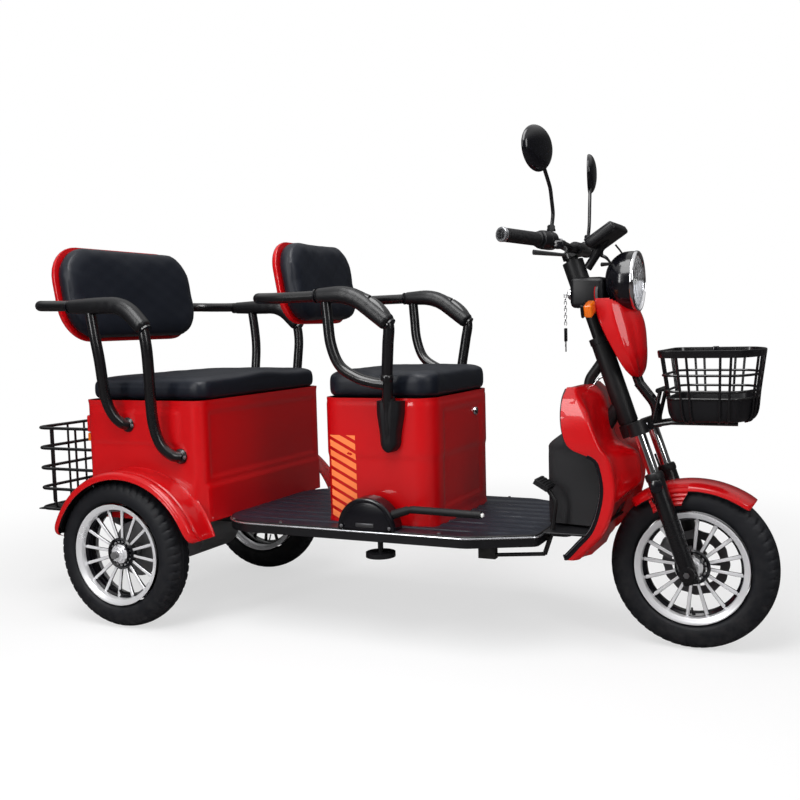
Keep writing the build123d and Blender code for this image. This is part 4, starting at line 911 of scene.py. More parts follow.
def makeArmFrames():
    # smooth bent tubes: the loop from one foot round behind the backrest to the other,
    # and a second post on each side
    front = Piece("frontArmFrame")
    half = [(0.229, -0.1575, 0.54), (0.232, -0.158, 0.6), (0.242, -0.1615, 0.68), (0.253, -0.172, 0.765),
            (0.258, -0.1775, 0.815), (0.258, -0.16, 0.852), (0.258, -0.112, 0.883), (0.258, -0.045, 0.894),
            (0.258, 0.06, 0.893), (0.258, 0.15, 0.892), (0.245, 0.206, 0.893), (0.205, 0.23, 0.894),
            (0.12, 0.233, 0.894)]
    loop = np.array(half + [(-x, y, z) for x, y, z in half[::-1]])
    front.tube(throughPoints(loop, 260), armFrameLook["frontTube"], "tubeBlack", 24, (0, 0.2, 0.1))
    post = [(0.258, 0.0000, 0.89), (0.257, -0.004, 0.84), (0.256, -0.011, 0.77), (0.253, -0.034, 0.715),
            (0.249, -0.08, 0.685), (0.246, -0.125, 0.672), (0.2435, -0.156, 0.668)]
    for side in (-1, 1):
        front.tube(throughPoints(np.array(post) * [side, 1, 1], 80), armFrameLook["frontPost"], "tubeBlack",
                   24, (1, 0, 0))
        front.turn([(0.0146, -0.008), (0.0162, -0.006), (0.0162, 0.006), (0.0146, 0.008)],
                   (side * 0.2432, -0.1618, 0.684), (0.08 * side, -0.05, 1), "tubeBlack", 24, closed=True)
    front.make("chassis", ["front_armrest_frame"], crease=50)
    rear = Piece("rearArmFrame")
    half = [(0.313, 0.436, 0.4745), (0.33, 0.45, 0.48), (0.343, 0.476, 0.512), (0.353, 0.489, 0.58),
            (0.366, 0.483, 0.7), (0.374, 0.481, 0.775), (0.376, 0.492, 0.832), (0.376, 0.523, 0.868),
            (0.376, 0.57, 0.885), (0.376, 0.66, 0.887), (0.376, 0.76, 0.888), (0.371, 0.825, 0.8895),
            (0.35, 0.868, 0.891), (0.305, 0.89, 0.8915), (0.22, 0.896, 0.8915), (0.1, 0.8965, 0.8915)]
    loop = np.array(half + [(-x, y, z) for x, y, z in half[::-1]])
    rear.tube(throughPoints(loop, 320), armFrameLook["rearTube"], "tubeBlack", 24, (0, 0.2, 0.1))
    post = [(0.376, 0.666, 0.885), (0.374, 0.654, 0.801), (0.368, 0.648, 0.738), (0.354, 0.647, 0.64),
            (0.342, 0.636, 0.59), (0.328, 0.62, 0.564), (0.313, 0.611, 0.557)]
    for side in (-1, 1):
        rear.tube(throughPoints(np.array(post) * [side, 1, 1], 80), armFrameLook["rearPost"], "tubeBlack",
                  24, (0, 1, 0))
        for y, z in ((0.436, 0.4745), (0.611, 0.557)):
            rear.turn([(0, 0.0075), (0.0175, 0.0075), (0.0205, 0.0045), (0.021, -0.0005)],
                      (side * 0.309, y, z), (side, 0, 0), "tubeBlack", 28)
            rear.bolt((side * 0.316, y - 0.0175, z - 0.0015), (side, 0, 0), 0.004, "steel")
    rear.make("chassis", ["rear_armrest_frame"], crease=50)


makeArmFrames()
print("armrests made")


# seat boxes
def boxWall(piece, look, shape):
    # wall of a rounded-rectangle box: each point moves outwards by shape(place, height),
    # and the lining is the same wall drawn in towards the middle
    outline = roundedRect(look["halfX"], (look["back"] - look["front"]) / 2, look["corner"], look["around"])
    nearby = np.roll(outline, -1, 0) - np.roll(outline, 1, 0)
    outward = unit(np.stack([nearby[:, 1], -nearby[:, 0]], -1))
    middle = (look["front"] + look["back"]) / 2
    z = np.linspace(look["low"], look["high"], look["rows"])
    x, y = outline[:, 0][None], outline[:, 1][None] + middle
    out = shape(x, y, z[:, None], outward)
    points = np.stack([x + out * outward[None, :, 0], y + out * outward[None, :, 1],
                       np.broadcast_to(z[:, None], out.shape)], -1)
    inner = points * [look["drawX"], 1, 1]
    inner[..., 1] = look["middle"] + (points[..., 1] - look["middle"]) * look["drawY"]
    shell(piece, points, inner, "redPaint", "plasticBlack", wrapColumns=True)
    return inner


frontBoxLook = dict(halfX=0.205, front=-0.2625, back=0.0555, low=0.3004, high=0.6296, corner=0.05,
                    around=264, rows=64, middle=-0.1035, drawX=0.97, drawY=0.965, floor=0.304)
rearBoxLook = dict(halfX=0.308, front=0.3675, back=0.7675, low=0.2946, high=0.6246, corner=0.03, around=264,
                   rows=64, middle=0.5675, drawX=0.983, drawY=0.975)
# slanted bars: pitch up the side, rise per metre along it, and the dark share between two
stripeLook = dict(low=0.3, high=0.532, front=-0.046, back=0.028, pitch=0.0262, slope=0.5, gap=0.36,
                  wall=0.2063, sunk=0.0008)


def frontBoxShape(x, y, z, outward):
    # sunk front panel with a soft edge, a crease across at two thirds of the height,
    # a rolled foot and a lip under the cushion
    out = np.full(np.broadcast_shapes(y.shape, z.shape), 0.0008)
    frontFace = smoothStep(-outward[None, :, 1], 0.86, 0.99)
    inset = frontFace * (1 - smoothStep(np.abs(x), 0.118, 0.14))
    tall = smoothStep(z, 0.336, 0.352) * (1 - smoothStep(z, 0.588, 0.602))
    out = out - 0.0035 * inset * tall
    out = out + 0.0026 * smoothStep(z, 0.468, 0.486) * (1 - smoothStep(z, 0.612, 0.624))
    out = out + 0.0022 * (1 - smoothStep(z, 0.302, 0.318))
    return out + 0.0018 * smoothStep(z, 0.616, 0.626)


def makeFrontBox():
    piece = Piece("frontBox")
    inner = boxWall(piece, frontBoxLook, frontBoxShape)
    middle = frontBoxLook["middle"]
    floor = np.stack([inner[1], inner[1] * [0.01, 1, 1]])
    floor[1, :, 1] = middle + (inner[1, :, 1] - middle) * 0.01
    floor[..., 2] = frontBoxLook["floor"]
    piece.grid(floor, "plasticBlack", wrapColumns=True)
    # slanted reflective stripes: bright bars on the side wall, with gaps between them
    look = stripeLook
    for sign in (-1, 1):
        bars = int((look["high"] - look["low"]) / look["pitch"])
        for number in range(-1, bars + 1):
            start = look["low"] + number * look["pitch"]
            u = np.linspace(look["front"], look["back"], 9)
            lean = (u - look["front"]) * look["slope"]
            bottom = np.clip(start + lean + look["pitch"] * look["gap"], look["low"], look["high"])
            top = np.clip(start + lean + look["pitch"], look["low"], look["high"])
            if np.all(top - bottom < 1e-4):
                continue
            layers = []
            for z in (bottom, top):
                swell = frontBoxShape(np.zeros(1), np.zeros(1), z[:, None], np.array([[1.0, 0.0]]))[:, 0]
                out = sign * (look["wall"] + swell - look["sunk"])
                layers.append(np.stack([out, u, z], -1))
            piece.grid(np.stack([layers[0], (layers[0] + layers[1]) / 2, layers[1]]), "stripeOrange")
    # lock in its turned ring on the front face
    spot = np.array([0.091, -0.2648, 0.572])
    collar = [(0, 0.004), (0.009, 0.004), (0.0115, 0.0025), (0.0125, -0.001)]
    piece.turn(collar, spot, (0, -1, 0), "chrome", 32)
    piece.turn([(0, 0.0048), (0.0062, 0.0048), (0.0066, 0.003)], spot, (0, -1, 0), "plasticSmooth", 24)
    piece.block((0.0902, -0.2704, 0.569), (0.0918, -0.2692, 0.575), 0.0003, "steel")
    piece.make("chassis", ["front_seat_box"], crease=30)


def rearBoxShape(x, y, z, outward):
    # front face: raised lower step; sides: a pillar near each front corner and a long
    # swage that runs into the wheel flare
    out = np.full(np.broadcast_shapes(y.shape, z.shape), 0.0008)
    frontFace = smoothStep(-outward[None, :, 1], 0.86, 0.99)
    out = out + 0.005 * frontFace * (1 - smoothStep(z, 0.386, 0.4))
    inset = frontFace * (1 - smoothStep(np.abs(x), 0.262, 0.276))
    upper = smoothStep(z, 0.41, 0.42) * (1 - smoothStep(z, 0.582, 0.6))
    out = out - 0.004 * inset * upper
    side = smoothStep(np.abs(outward[None, :, 0]), 0.86, 0.99)
    panel = smoothStep(y, 0.43, 0.45) * (1 - smoothStep(y, 0.722, 0.744))
    raised = smoothStep(z, 0.5, 0.512) * (1 - smoothStep(z, 0.588, 0.6))
    out = out + 0.0026 * side * panel * raised
    flare = np.sqrt((y - 0.6175) ** 2 + (z - 0.205) ** 2)
    out = out + 0.006 * side * (1 - smoothStep(flare, 0.25, 0.32))
    return out + 0.0018 * smoothStep(z, 0.61, 0.622)


def makeRearBox():
    piece = Piece("rearBox")
    boxWall(piece, rearBoxLook, rearBoxShape)
    piece.make("chassis", ["rear_seat_box"], crease=30)


makeFrontBox()
makeRearBox()
print("seat boxes made")


def smoothRows(table, count):
    # settings given at a few heights, carried smoothly to many
    return throughPoints(np.array(table, float), count)


# leg shield and liner
frontAxle = np.array([0.0, -0.8755, 0.205])
rearAxle = np.array([0.0, 0.6175, 0.205])
# height, half width, then how far behind the front axle the middle, the quarter,
# the side and the back edge stand
shieldRows = (
    (0.232, 0.152, 0.232, 0.236, 0.266, 0.284), (0.27, 0.166, 0.192, 0.2, 0.226, 0.248),
    (0.32, 0.175, 0.165, 0.18, 0.182, 0.206), (0.4, 0.177, 0.13, 0.172, 0.158, 0.184),
    (0.46, 0.178, 0.13, 0.177, 0.163, 0.19), (0.488, 0.181, 0.142, 0.185, 0.172, 0.204),
    (0.51, 0.186, 0.186, 0.204, 0.186, 0.252), (0.535, 0.187, 0.2, 0.214, 0.198, 0.27),
    (0.58, 0.184, 0.207, 0.222, 0.218, 0.278),
    (0.625, 0.16, 0.222, 0.232, 0.246, 0.281), (0.6545, 0.118, 0.246, 0.252, 0.262, 0.281),
)
archLook = dict(radius=0.2395, halfWidth=0.152)


def noseLine(half, middle, quarter, side):
    # curve across a nose through five points, and how far out each of its points is
    q = half * 0.46
    line = throughPoints([[-half, side], [-q, quarter], [0, middle], [q, quarter], [half, side]], 121)
    return line, np.abs(line[:, 0]) / half


def relaxRows(points, rounds):
    # side corners rounded by averaging along each row
    for _ in range(rounds):
        points[:, 1:-1, :2] = 0.5 * points[:, 1:-1, :2] + 0.25 * (points[:, 2:, :2] + points[:, :-2, :2])


def shieldSurface(rows):
    # each row: a curve across the nose through five points, rounded round the side
    # edge and on to the back edge; a ridge rises beside the edge and a valley inside it
    count = 129
    out = []
    for z, half, middle, quarter, side, back in rows:
        nose, share = noseLine(half, middle, quarter, side)
        ridge = np.exp(-((share - 0.9) / 0.085) ** 2) * 0.007 - np.exp(-((share - 0.66) / 0.12) ** 2) * 0.004
        top = 1 - smoothStep(z, 0.6, 0.65)
        nose[:, 1] -= ridge * top
        edge = np.array([[-half, back], [-half * 1.004, (back * 0.7 + side * 0.3)]])
        line = np.vstack([edge, nose, edge[::-1] * [-1, 1]])
        out.append(np.column_stack([evenly(line, count, False), np.full(count, z)]))
    points = np.stack(out)
    relaxRows(points, 3)
    points[..., 1] += frontAxle[1]
    # what falls inside the round wheel arch is pushed out to it
    y, z = points[..., 1] - frontAxle[1], points[..., 2] - frontAxle[2]
    reach = np.hypot(y, z)
    wanted = archLook["radius"]
    inside = (reach < wanted) & (np.abs(points[..., 0]) < archLook["halfWidth"])
    grow = np.where(inside, wanted / reach, 1.0)
    points[..., 1] = frontAxle[1] + y * grow
    points[..., 2] = np.maximum(frontAxle[2] + z * grow, 0.232)
    return points


def makeShield():
    rows = smoothRows(shieldRows, 80)
    rows[:, 0] = np.clip(rows[:, 0], 0.232, 0.6545)
    outer = shieldSurface(rows)
    inner = outer + [0, 0.0035, 0]
    crown = outer[-1:].copy()
    crown[..., 0] *= 0.9
    crown[..., 1] = frontAxle[1] + 0.272 + (crown[..., 1] - frontAxle[1] - 0.272) * 0.45
    last = crown.copy()
    last[..., 0] *= 0.6
    last[..., 1] = frontAxle[1] + 0.274
    outer = np.concatenate([outer, crown, last])
    lid = np.concatenate([inner, crown - [0, 0, 0.003], last - [0, 0, 0.003]])
    piece = Piece("legShield")
    shell(piece, outer, lid, "redPaint")
    piece.make("chassis", ["leg_shield"], crease=50)


def makeLiner():
    # inner panel with an angular hump; it stands back(z) behind the axle plus the hump
    rows = smoothRows(shieldRows, 80)
    z = np.clip(rows[:, 0], 0.236, 0.65)
    half = rows[:, 1] - 0.0045
    back = rows[:, 5] + 0.0015
    u = np.linspace(-1, 1, 111)
    x = half[:, None] * u[None]
    plateau = 1 - smoothStep(np.abs(x), 0.066, 0.094)
    rise = 1 - smoothStep(z, 0.5, 0.566)[:, None]
    base = back[:, None] + 0.0015 + 0.01 * (1 - u[None] ** 2) * smoothStep(z, 0.3, 0.36)[:, None]
    hump = (0.3505 - base) * plateau * rise * (z > 0.301)[:, None]
    step = 0.006 * smoothStep(np.abs(u), 0.84, 0.9)[None] * (1 - smoothStep(np.abs(u), 0.95, 0.99))[None]
    facet = -0.004 * np.exp(-((np.abs(x) - 0.045) / 0.006) ** 2) * rise
    y = frontAxle[1] + base + np.maximum(hump, 0) + step + facet * (z > 0.32)[:, None]
    outer = np.stack([x, y, np.broadcast_to(z[:, None], x.shape)], -1)
    outer[..., 2] = np.where((outer[..., 2] < 0.3005) & (np.abs(x) < 0.178) & (hump > 0), 0.3005,
                             outer[..., 2])
    inner = outer - [0, 0.003, 0]
    piece = Piece("legShieldLiner")
    shell(piece, outer, inner, "plasticGrey")
    # toe board on the floor's front end
    piece.block((-0.16, frontAxle[1] + 0.212, 0.2945), (0.16, frontAxle[1] + 0.3395, 0.3002), 0.002,
                "plasticBlack")
    # edge trim: a dark rubber bead and a bright line inside it, up both sides
    for sign in (-1, 1):
        edge = np.stack([sign * (rows[:, 1] - 0.004), frontAxle[1] + rows[:, 5] + 0.001, z], -1)[z < 0.497]
        piece.tube(edge, 0.006, "plasticSmooth", 12, (sign, 0, 0))
        bright = np.stack([sign * (rows[:, 1] - 0.016), frontAxle[1] + rows[:, 5] + 0.0085, z],
                          -1)[z < 0.492]
        piece.tube(bright, 0.0026, "silverTrim", 8, (sign, 0, 0))
        fold = np.stack([sign * (rows[:, 1] - 0.027), frontAxle[1] + rows[:, 5] + 0.0125, z], -1)[z < 0.488]
        piece.tube(fold, 0.003, "plasticSmooth", 8, (sign, 0, 0))
    piece.make("chassis", ["leg_shield_liner"], crease=32)


makeShield()
makeLiner()
print("leg shield made")


# fenders and mudguard
def threePointArc(start, through, end, count):
    # circle through three points: centre from the two chord bisectors
    (ax, ay), (bx, by), (cx, cy) = start, through, end
    d = 2 * (ax * (by - cy) + bx * (cy - ay) + cx * (ay - by))
    a, b, c = ax ** 2 + ay ** 2, bx ** 2 + by ** 2, cx ** 2 + cy ** 2
    ux = (a * (by - cy) + b * (cy - ay) + c * (ay - by)) / d
    uy = (a * (cx - bx) + b * (ax - cx) + c * (bx - ax)) / d
    radius = math.hypot(ax - ux, ay - uy)
    first, last = math.atan2(ay - uy, ax - ux), math.atan2(cy - uy, cx - ux)
    angle = np.linspace(first, last, count)
    return np.array([ux, uy]), radius, angle


def bandAlongArc(arc, section, tipShare, side=1.0):
    # section points (across, outwards) carried round the arc; towards both tips the
    # section narrows by a quarter ellipse
    centre, radius, angle = arc
    share = np.linspace(0, 1, len(angle))
    near = np.minimum(share / tipShare[0], (1 - share) / tipShare[1]).clip(0, 1)
    narrow = 1 - tipShare[2] * (1 - np.sqrt(1 - (1 - near) ** 2))
    section = np.array(section, float)
    start = section[0, 0] if tipShare[3] else 0.0  # True narrows the outer edge only
    across = start + (section[None, :, 0] - start) * narrow[:, None]
    outwards = radius + section[None, :, 1]
    y = centre[0] + outwards * np.cos(angle)[:, None]
    z = centre[1] + outwards * np.sin(angle)[:, None]
    return np.stack([np.broadcast_to(across, y.shape) * side, y, z], -1)


fenderLook = dict(tips=(0.07, 0.06, 0.3, True), steps=110)  # each tip's share, how narrow, outer edge only


def makeRearFenders():
    arc = threePointArc((rearAxle[1] - 0.279, 0.261), (rearAxle[1] - 0.025, 0.44),
                        (rearAxle[1] + 0.214, 0.25), fenderLook["steps"])
    outline = throughPoints([
        (0.3087, 0.005), (0.313, 0.0016), (0.322, -0.0012), (0.34, -0.0022), (0.356, -0.002),
        (0.368, -0.0032),
        (0.372, -0.0062), (0.3752, -0.0036), (0.38, -0.002), (0.388, -0.0026), (0.3945, -0.006),
        (0.3978, -0.011), (0.3988, -0.0165), (0.3998, -0.0205), (0.3972, -0.0228), (0.395, -0.02)], 46)
    inner = throughPoints([
        (0.3087, 0.002), (0.313, -0.0016), (0.322, -0.0042), (0.34, -0.0052), (0.356, -0.0052),
        (0.368, -0.0066),
        (0.372, -0.0092), (0.3752, -0.007), (0.38, -0.0054), (0.387, -0.0062), (0.3915, -0.0085),
        (0.3938, -0.012), (0.3945, -0.016), (0.3948, -0.018), (0.3949, -0.019), (0.395, -0.02)], 46)
    piece = Piece("rearFenders")
    for side in (1.0, -1.0):
        shell(piece, bandAlongArc(arc, outline, fenderLook["tips"], side),
              bandAlongArc(arc, inner, fenderLook["tips"], side), "redPaint", "plasticBlack")
    piece.make("chassis", ["rear_fenders"], crease=45)


mudguardLook = dict(tips=(0.09, 0.08, 0.24, False), steps=90, wall=0.0028, stayPitch=0.0105)


def makeMudguard():
    arc = threePointArc((frontAxle[1] - 0.151, 0.376), (frontAxle[1] + 0.004, 0.423),
                        (frontAxle[1] + 0.15, 0.371), mudguardLook["steps"])
    right = [(0.0, -0.0002), (0.014, -0.0008), (0.028, -0.003), (0.04, -0.0068), (0.0475, -0.0112),
             (0.0512, -0.015), (0.053, -0.0195), (0.054, -0.0228), (0.0518, -0.024)]
    both = [(-x, r) for x, r in right[:0:-1]] + right
    outline = throughPoints(both, 72)
    inner = outline * [0.955, 1.0] - [0, mudguardLook["wall"]]
    inner[0], inner[-1] = outline[0] * [0.97, 1], outline[-1] * [0.97, 1]
    piece = Piece("frontMudguard")
    tips = mudguardLook["tips"]
    shell(piece, bandAlongArc(arc, outline, tips), bandAlongArc(arc, inner, tips), "redPaint",
          "plasticBlack")
    # ribbed stays beside the fork legs
    centre, radius, _ = arc
    y = np.linspace(frontAxle[1] + 0.004, frontAxle[1] + 0.102, 25)
    deep = np.linspace(0.012, 0.06, 61)
    for side in (-1, 1):
        top = centre[1] + np.sqrt(radius ** 2 - (y - centre[0]) ** 2)
        wave = 0.0017 * np.sin(deep * 2 * math.pi / mudguardLook["stayPitch"])
        wave = wave * smoothStep(deep, 0.014, 0.02)
        narrow = 1 - 0.3 * smoothStep(deep, 0.02, 0.06)
        mid = frontAxle[1] + 0.058
        place = mid + (y[None] - mid) * narrow[:, None]
        points = np.stack([
            np.broadcast_to(side * (0.0522 + wave)[:, None], place.shape), place,
            top[None] - deep[:, None]], -1)
        inward = points - [side * 0.0026, 0, 0]
        shell(piece, points, inward, "redPaint")
        spot = np.array([side * 0.0535, -0.7927, 0.3737])
        piece.turn([(0, 0.003), (0.0085, 0.003), (0.009, -0.002)], spot, (side, 0, 0), "plasticSmooth", 24)
    piece.make("steering", ["front_mudguard"], crease=40)


makeRearFenders()
makeMudguard()
print("fenders made")

# headlight, cowl, signals and display
headLean = math.radians(19)
headMiddle = np.array([0.0, -0.68291, 0.65375])
cowlFront = headMiddle[1] - 0.04499
lampMiddle = headMiddle + [0, -0.059, 0.256]
# height above the head, half width, then how far ahead of it the middle, the
# quarter, the side and the back edge stand
cowlRows = ((0.018, 0.022, 0.066, 0.064, 0.06, 0.052), (0.046, 0.05, 0.078, 0.072, 0.056, 0.034),
            (0.096, 0.0655, 0.08, 0.07, 0.038, 0.009), (0.163, 0.0675, 0.072, 0.058, 0.016, -0.022),
            (0.226, 0.0555, 0.038, 0.028, 0.000, -0.036), (0.266, 0.03, -0.006, -0.01, -0.018, -0.036))


def headPoint(x, y, z):
    # a point given in the steering head's leaning frame
    c, s = math.cos(headLean), math.sin(headLean)
    return headMiddle + [x, y * c + z * s, z * c - y * s]


def makeCowl():
    rows = smoothRows(cowlRows, 90)
    count = 141
    out = []
    for z, half, middle, quarter, side, back in rows:
        nose, share = noseLine(half, -middle, -quarter, -side)
        ridge, valley = np.exp(-((share - 0.8) / 0.1) ** 2), np.exp(-((share - 0.55) / 0.1) ** 2)
        nose[:, 1] -= 0.003 * ridge - 0.0022 * valley
        line = np.vstack([[[-half, -back]], nose, [[half, -back]]])
        out.append(np.column_stack([evenly(line, count, False), np.full(count, z)]))
    points = np.stack(out)
    relaxRows(points, 6)
    outer = points + headMiddle
    # a rounded foot: the first rows draw in to one line
    share = np.linspace(0, 1, len(rows))
    draw = np.sqrt(np.clip(1 - (1 - np.clip(share / 0.05, 0, 1)) ** 2, 0, 1))
    middleLine = headMiddle + [0, -0.06, 0]
    outer[..., :2] = middleLine[:2] + (outer[..., :2] - middleLine[:2]) * (0.35 + 0.65 * draw)[:, None, None]
    inner = outer * [0.955, 1, 1] + [0, 0.003, 0]
    faces = gridFaces(len(rows), count, False, False)
    piece = Piece("headlightCowl")
    for surface, kind in ((outer, "redPaint"), (inner, "plasticBlack")):
        flat = surface.reshape(-1, 3)
        # the lamp's round opening is left out of the cowl
        nearLamp = np.hypot(flat[:, 0], flat[:, 2] - lampMiddle[2]) < 0.0735
        inBowl = nearLamp & (flat[:, 1] > lampMiddle[1] - 0.03)
        keep = ~inBowl[faces].all(axis=1)
        piece.add(flat, faces[keep].tolist(), kind)
    for column in (0, -1):
        piece.grid(np.stack([outer[:, column], inner[:, column]]), "redPaint")
    piece.grid(np.stack([outer[0], inner[0]]), "redPaint")
    piece.make("steering", ["headlight_cowl"], crease=60, recalculate=False)


headlightLook = dict(glass=0.0692, bulge=0.0095, flute=0.0007, flutePitch=0.0105)


def makeHeadlight():
    axis = (0, 1, 0)
    piece = Piece("headlightBowl")
    bowl = throughPoints([(0.0748, 0.004), (0.075, 0.02), (0.0728, 0.036), (0.064, 0.052), (0.05, 0.066),
                          (0.034, 0.0745), (0.015, 0.0765), (0.0002, 0.0768)], 40)
    piece.turn(bowl, lampMiddle, axis, "plasticSmooth", 96)
    bezel = [(0.0748, 0.006), (0.0758, 0.004), (0.076, 0.001), (0.0752, -0.0022), (0.0728, -0.004),
             (0.0702, -0.0038), (0.069, -0.002), (0.0688, 0.004)]
    piece.turn(bezel, lampMiddle, axis, "chrome", 96)
    depth = np.linspace(0, 1, 24)
    reflector = np.stack([0.069 * np.sqrt(1 - depth * 0.9995), 0.003 + 0.04 * depth], -1)
    piece.turn(reflector, lampMiddle, axis, "chrome", 96)
    piece.turn([(0, 0.012), (0.006, 0.013), (0.0085, 0.018), (0.0085, 0.034), (0.013, 0.037),
                (0.014, 0.042)], lampMiddle, axis, "bulbGlass", 32)
    # black back shell of the cowl, closing it towards the stem
    rows = smoothRows(cowlRows, 60)
    u = np.linspace(-1, 1, 33)
    half, back = rows[:, 1] - 0.001, -rows[:, 5] + 0.0003
    x = half[:, None] * u[None]
    y = headMiddle[1] + back[:, None] + 0.0065 * (1 - np.abs(u[None]) ** 3)
    z = headMiddle[2] + rows[:, :1] + 0 * x
    outer = np.stack([x, y, z], -1)
    shell(piece, outer, outer - [0, 0.0065, 0], "plasticBlack")
    # switch housing round the stem, with a smooth plate on its back
    low = np.array([-0.044, cowlFront + 0.062, lampMiddle[2] - 0.062])
    high = np.array([0.044, headMiddle[1] + 0.104, lampMiddle[2] + 0.014])
    piece.block(low, high, 0.012, "plasticBlack", segments=4)
    piece.block([-0.036, high[1] - 0.003, low[2] + 0.012], [0.036, high[1] + 0.0004, high[2] - 0.012],
                0.0018, "plasticSmooth")
    piece.make("steering", ["headlight_housing"], crease=40)
    glass = Piece("headlightGlass")
    u, v = np.meshgrid(np.linspace(0, 1, 30), np.linspace(0, 2 * math.pi, 120, endpoint=False))
    radius = u * headlightLook["glass"]
    x, z = radius * np.cos(v), radius * np.sin(v)
    bulge = -headlightLook["bulge"] * (1 - u ** 2)
    flute = headlightLook["flute"] * np.cos(x * 2 * math.pi / headlightLook["flutePitch"])
    flute = flute * (1 - smoothStep(u, 0.84, 0.96))
    front = np.stack([x, bulge + 0.0008, z], -1) + lampMiddle
    rear = np.stack([x, bulge + 0.0034 + flute, z], -1) + lampMiddle
    glass.grid(front[:, 1:], "glass", wrapRows=True)
    glass.grid(rear[:, 1:], "glass", wrapRows=True)
    for face in (front, rear):
        centre = face[:, :1].mean(axis=0, keepdims=True).repeat(len(face), 0)
        glass.grid(np.concatenate([centre, face[:, 1:2]], 1), "glass", wrapRows=True)
    glass.grid(np.stack([front[:, -1], rear[:, -1]], 1), "glass", wrapRows=True)
    glass.make("steering", ["headlight_lens"], crease=30)


def tiltedFrame(place, degrees, axis):
    return Matrix.Translation(place) @ Matrix.Rotation(math.radians(degrees), 4, axis)


signalLook = dict(half=0.092, tilt=20)


def makeSignals():
    piece = Piece("turnSignals")
    for side in (-1, 1):
        place = (side * signalLook["half"], cowlFront + 0.088, lampMiddle[2] - 0.066)
        seat = tiltedFrame(place, side * signalLook["tilt"], "Y")
        piece.block((-0.0215, -0.014, -0.016), (0.0215, 0.0075, 0.016), 0.006, "amber", seat, 4)
        piece.block((-0.023, 0.006, -0.017), (0.023, 0.015, 0.017), 0.005, "plasticSmooth", seat, 3)
        stalk = np.linspace([side * 0.045, place[1] + 0.004, place[2] + 0.008],
                            [side * 0.078, place[1] + 0.004, place[2] + 0.006], 6)
        piece.tube(stalk, [0.0085, 0.008, 0.007, 0.007, 0.0078, 0.0085], "rubber", 16, (0, 1, 0))
    piece.make("steering", ["turn_signals"], crease=40)


displayLook = dict(tilt=-33, behind=0.02, above=0.372)


def makeDisplay():
    piece = Piece("displayUnit")
    place = (0, headMiddle[1] + displayLook["behind"], headMiddle[2] + displayLook["above"])
    seat = tiltedFrame(place, displayLook["tilt"], "X")
    piece.block((-0.07, -0.042, -0.013), (0.07, 0.042, 0.009), 0.007, "plasticBlack", seat, 4)
    piece.block((-0.0665, -0.0385, 0.006), (0.0665, 0.0385, 0.0122), 0.003, "plasticSmooth", seat, 3)
    piece.block((-0.056, -0.026, 0.011), (0.056, 0.024, 0.0128), 0.0005, "screen", seat, 2)
    start = headPoint(0, -0.03, 0.3)
    piece.tube(np.linspace(start, np.array(place) - [0, 0, 0.008], 6), 0.0108, "plasticBlack", 20)
    # lamp lead between the display and the headlight bowl
    lead = throughPoints([(0.012, place[1] - 0.02, place[2] - 0.022),
                          (0.014, place[1] - 0.036, place[2] - 0.045), (0.01, -0.7, 0.962),
                          (0.006, -0.69, 0.94)], 30)
    piece.tube(lead, 0.0023, "rubber", 8)
    piece.make("steering", ["display_unit"], crease=40)


makeCowl()
makeHeadlight()
makeSignals()
makeDisplay()
print("headlight made")


# mirrors, grips and levers
barMiddle = headMiddle + [0, 0.335 * math.sin(headLean), 0.335 * math.cos(headLean)]
gripEnd = barMiddle + [0.32, 0.068, 0.044]
gripStart = barMiddle + [0.15, -0.002, 0.036]


mirrorLook = dict(halfX=0.0648, halfZ=0.0533, deep=0.0218, toe=12, stalk=0.0046)


def makeMirrors():
    piece = Piece("mirrorPair")
    headPlace = np.array([0.229, barMiddle[1] + 0.018, barMiddle[2] + 0.245])
    toe = math.radians(mirrorLook["toe"])
    cross = np.array([math.cos(toe), math.sin(toe), 0])
    rear = np.array([-math.sin(toe), math.cos(toe), 0])
    outline = ring(1, 96)
    egg = 1 + 0.05 * outline[:, 1:2]
    outline = outline * np.concatenate([egg, np.ones_like(egg)], 1)
    rows = [(0.0, -0.0015), (0.5, -0.0015), (0.93, -0.0015), (0.945, -0.0003), (0.975, 0.0),
            (0.995, -0.0018)]
    dome = np.linspace(0.06, 1, 26)
    rows += [(math.sqrt(max(1 - d ** 2.3, 0)), -0.002 - mirrorLook["deep"] * d) for d in dome]
    rows = np.array(rows)
    flat = outline[None] * rows[:, :1, None] * np.array([mirrorLook["halfX"], mirrorLook["halfZ"]])
    local = flat[..., :1] * cross + flat[..., 1:] * np.array([0, 0, 1.0]) + rows[:, None, 1:] * rear
    for side in (-1, 1):
        whole = (local + headPlace) * [side, 1, 1]
        piece.grid(whole[3:], "plasticSmooth", wrapColumns=True)
        piece.grid(whole[:4], "mirrorGlass", wrapColumns=True)
        foot = np.array([0.164, barMiddle[1] + 0.003, barMiddle[2] + 0.0593])
        stalk = bentPath([foot, barMiddle + [0.162, -0.002, 0.1], barMiddle + [0.176, 0, 0.16],
                          headPlace + [-0.006, -0.008, -0.01]], 0.06, 0.006) * [side, 1, 1]
        piece.tube(stalk, mirrorLook["stalk"], "tubeBlack", 14, (0, 1, 0))
        base = foot * [side, 1, 1]
        piece.turn([(0, 0), (0.0108, 0), (0.0108, 0.004), (0.0095, 0.006), (0.0095, 0.012), (0.007, 0.0155),
                    (0, 0.0158)], base, (0, 0, 1), "tubeBlack", 6)
    piece.make("steering", ["mirrors"], crease=35)


gripLook = dict(radius=0.0158, ripple=0.0006, ripplePitch=0.028, lever=0.0048)


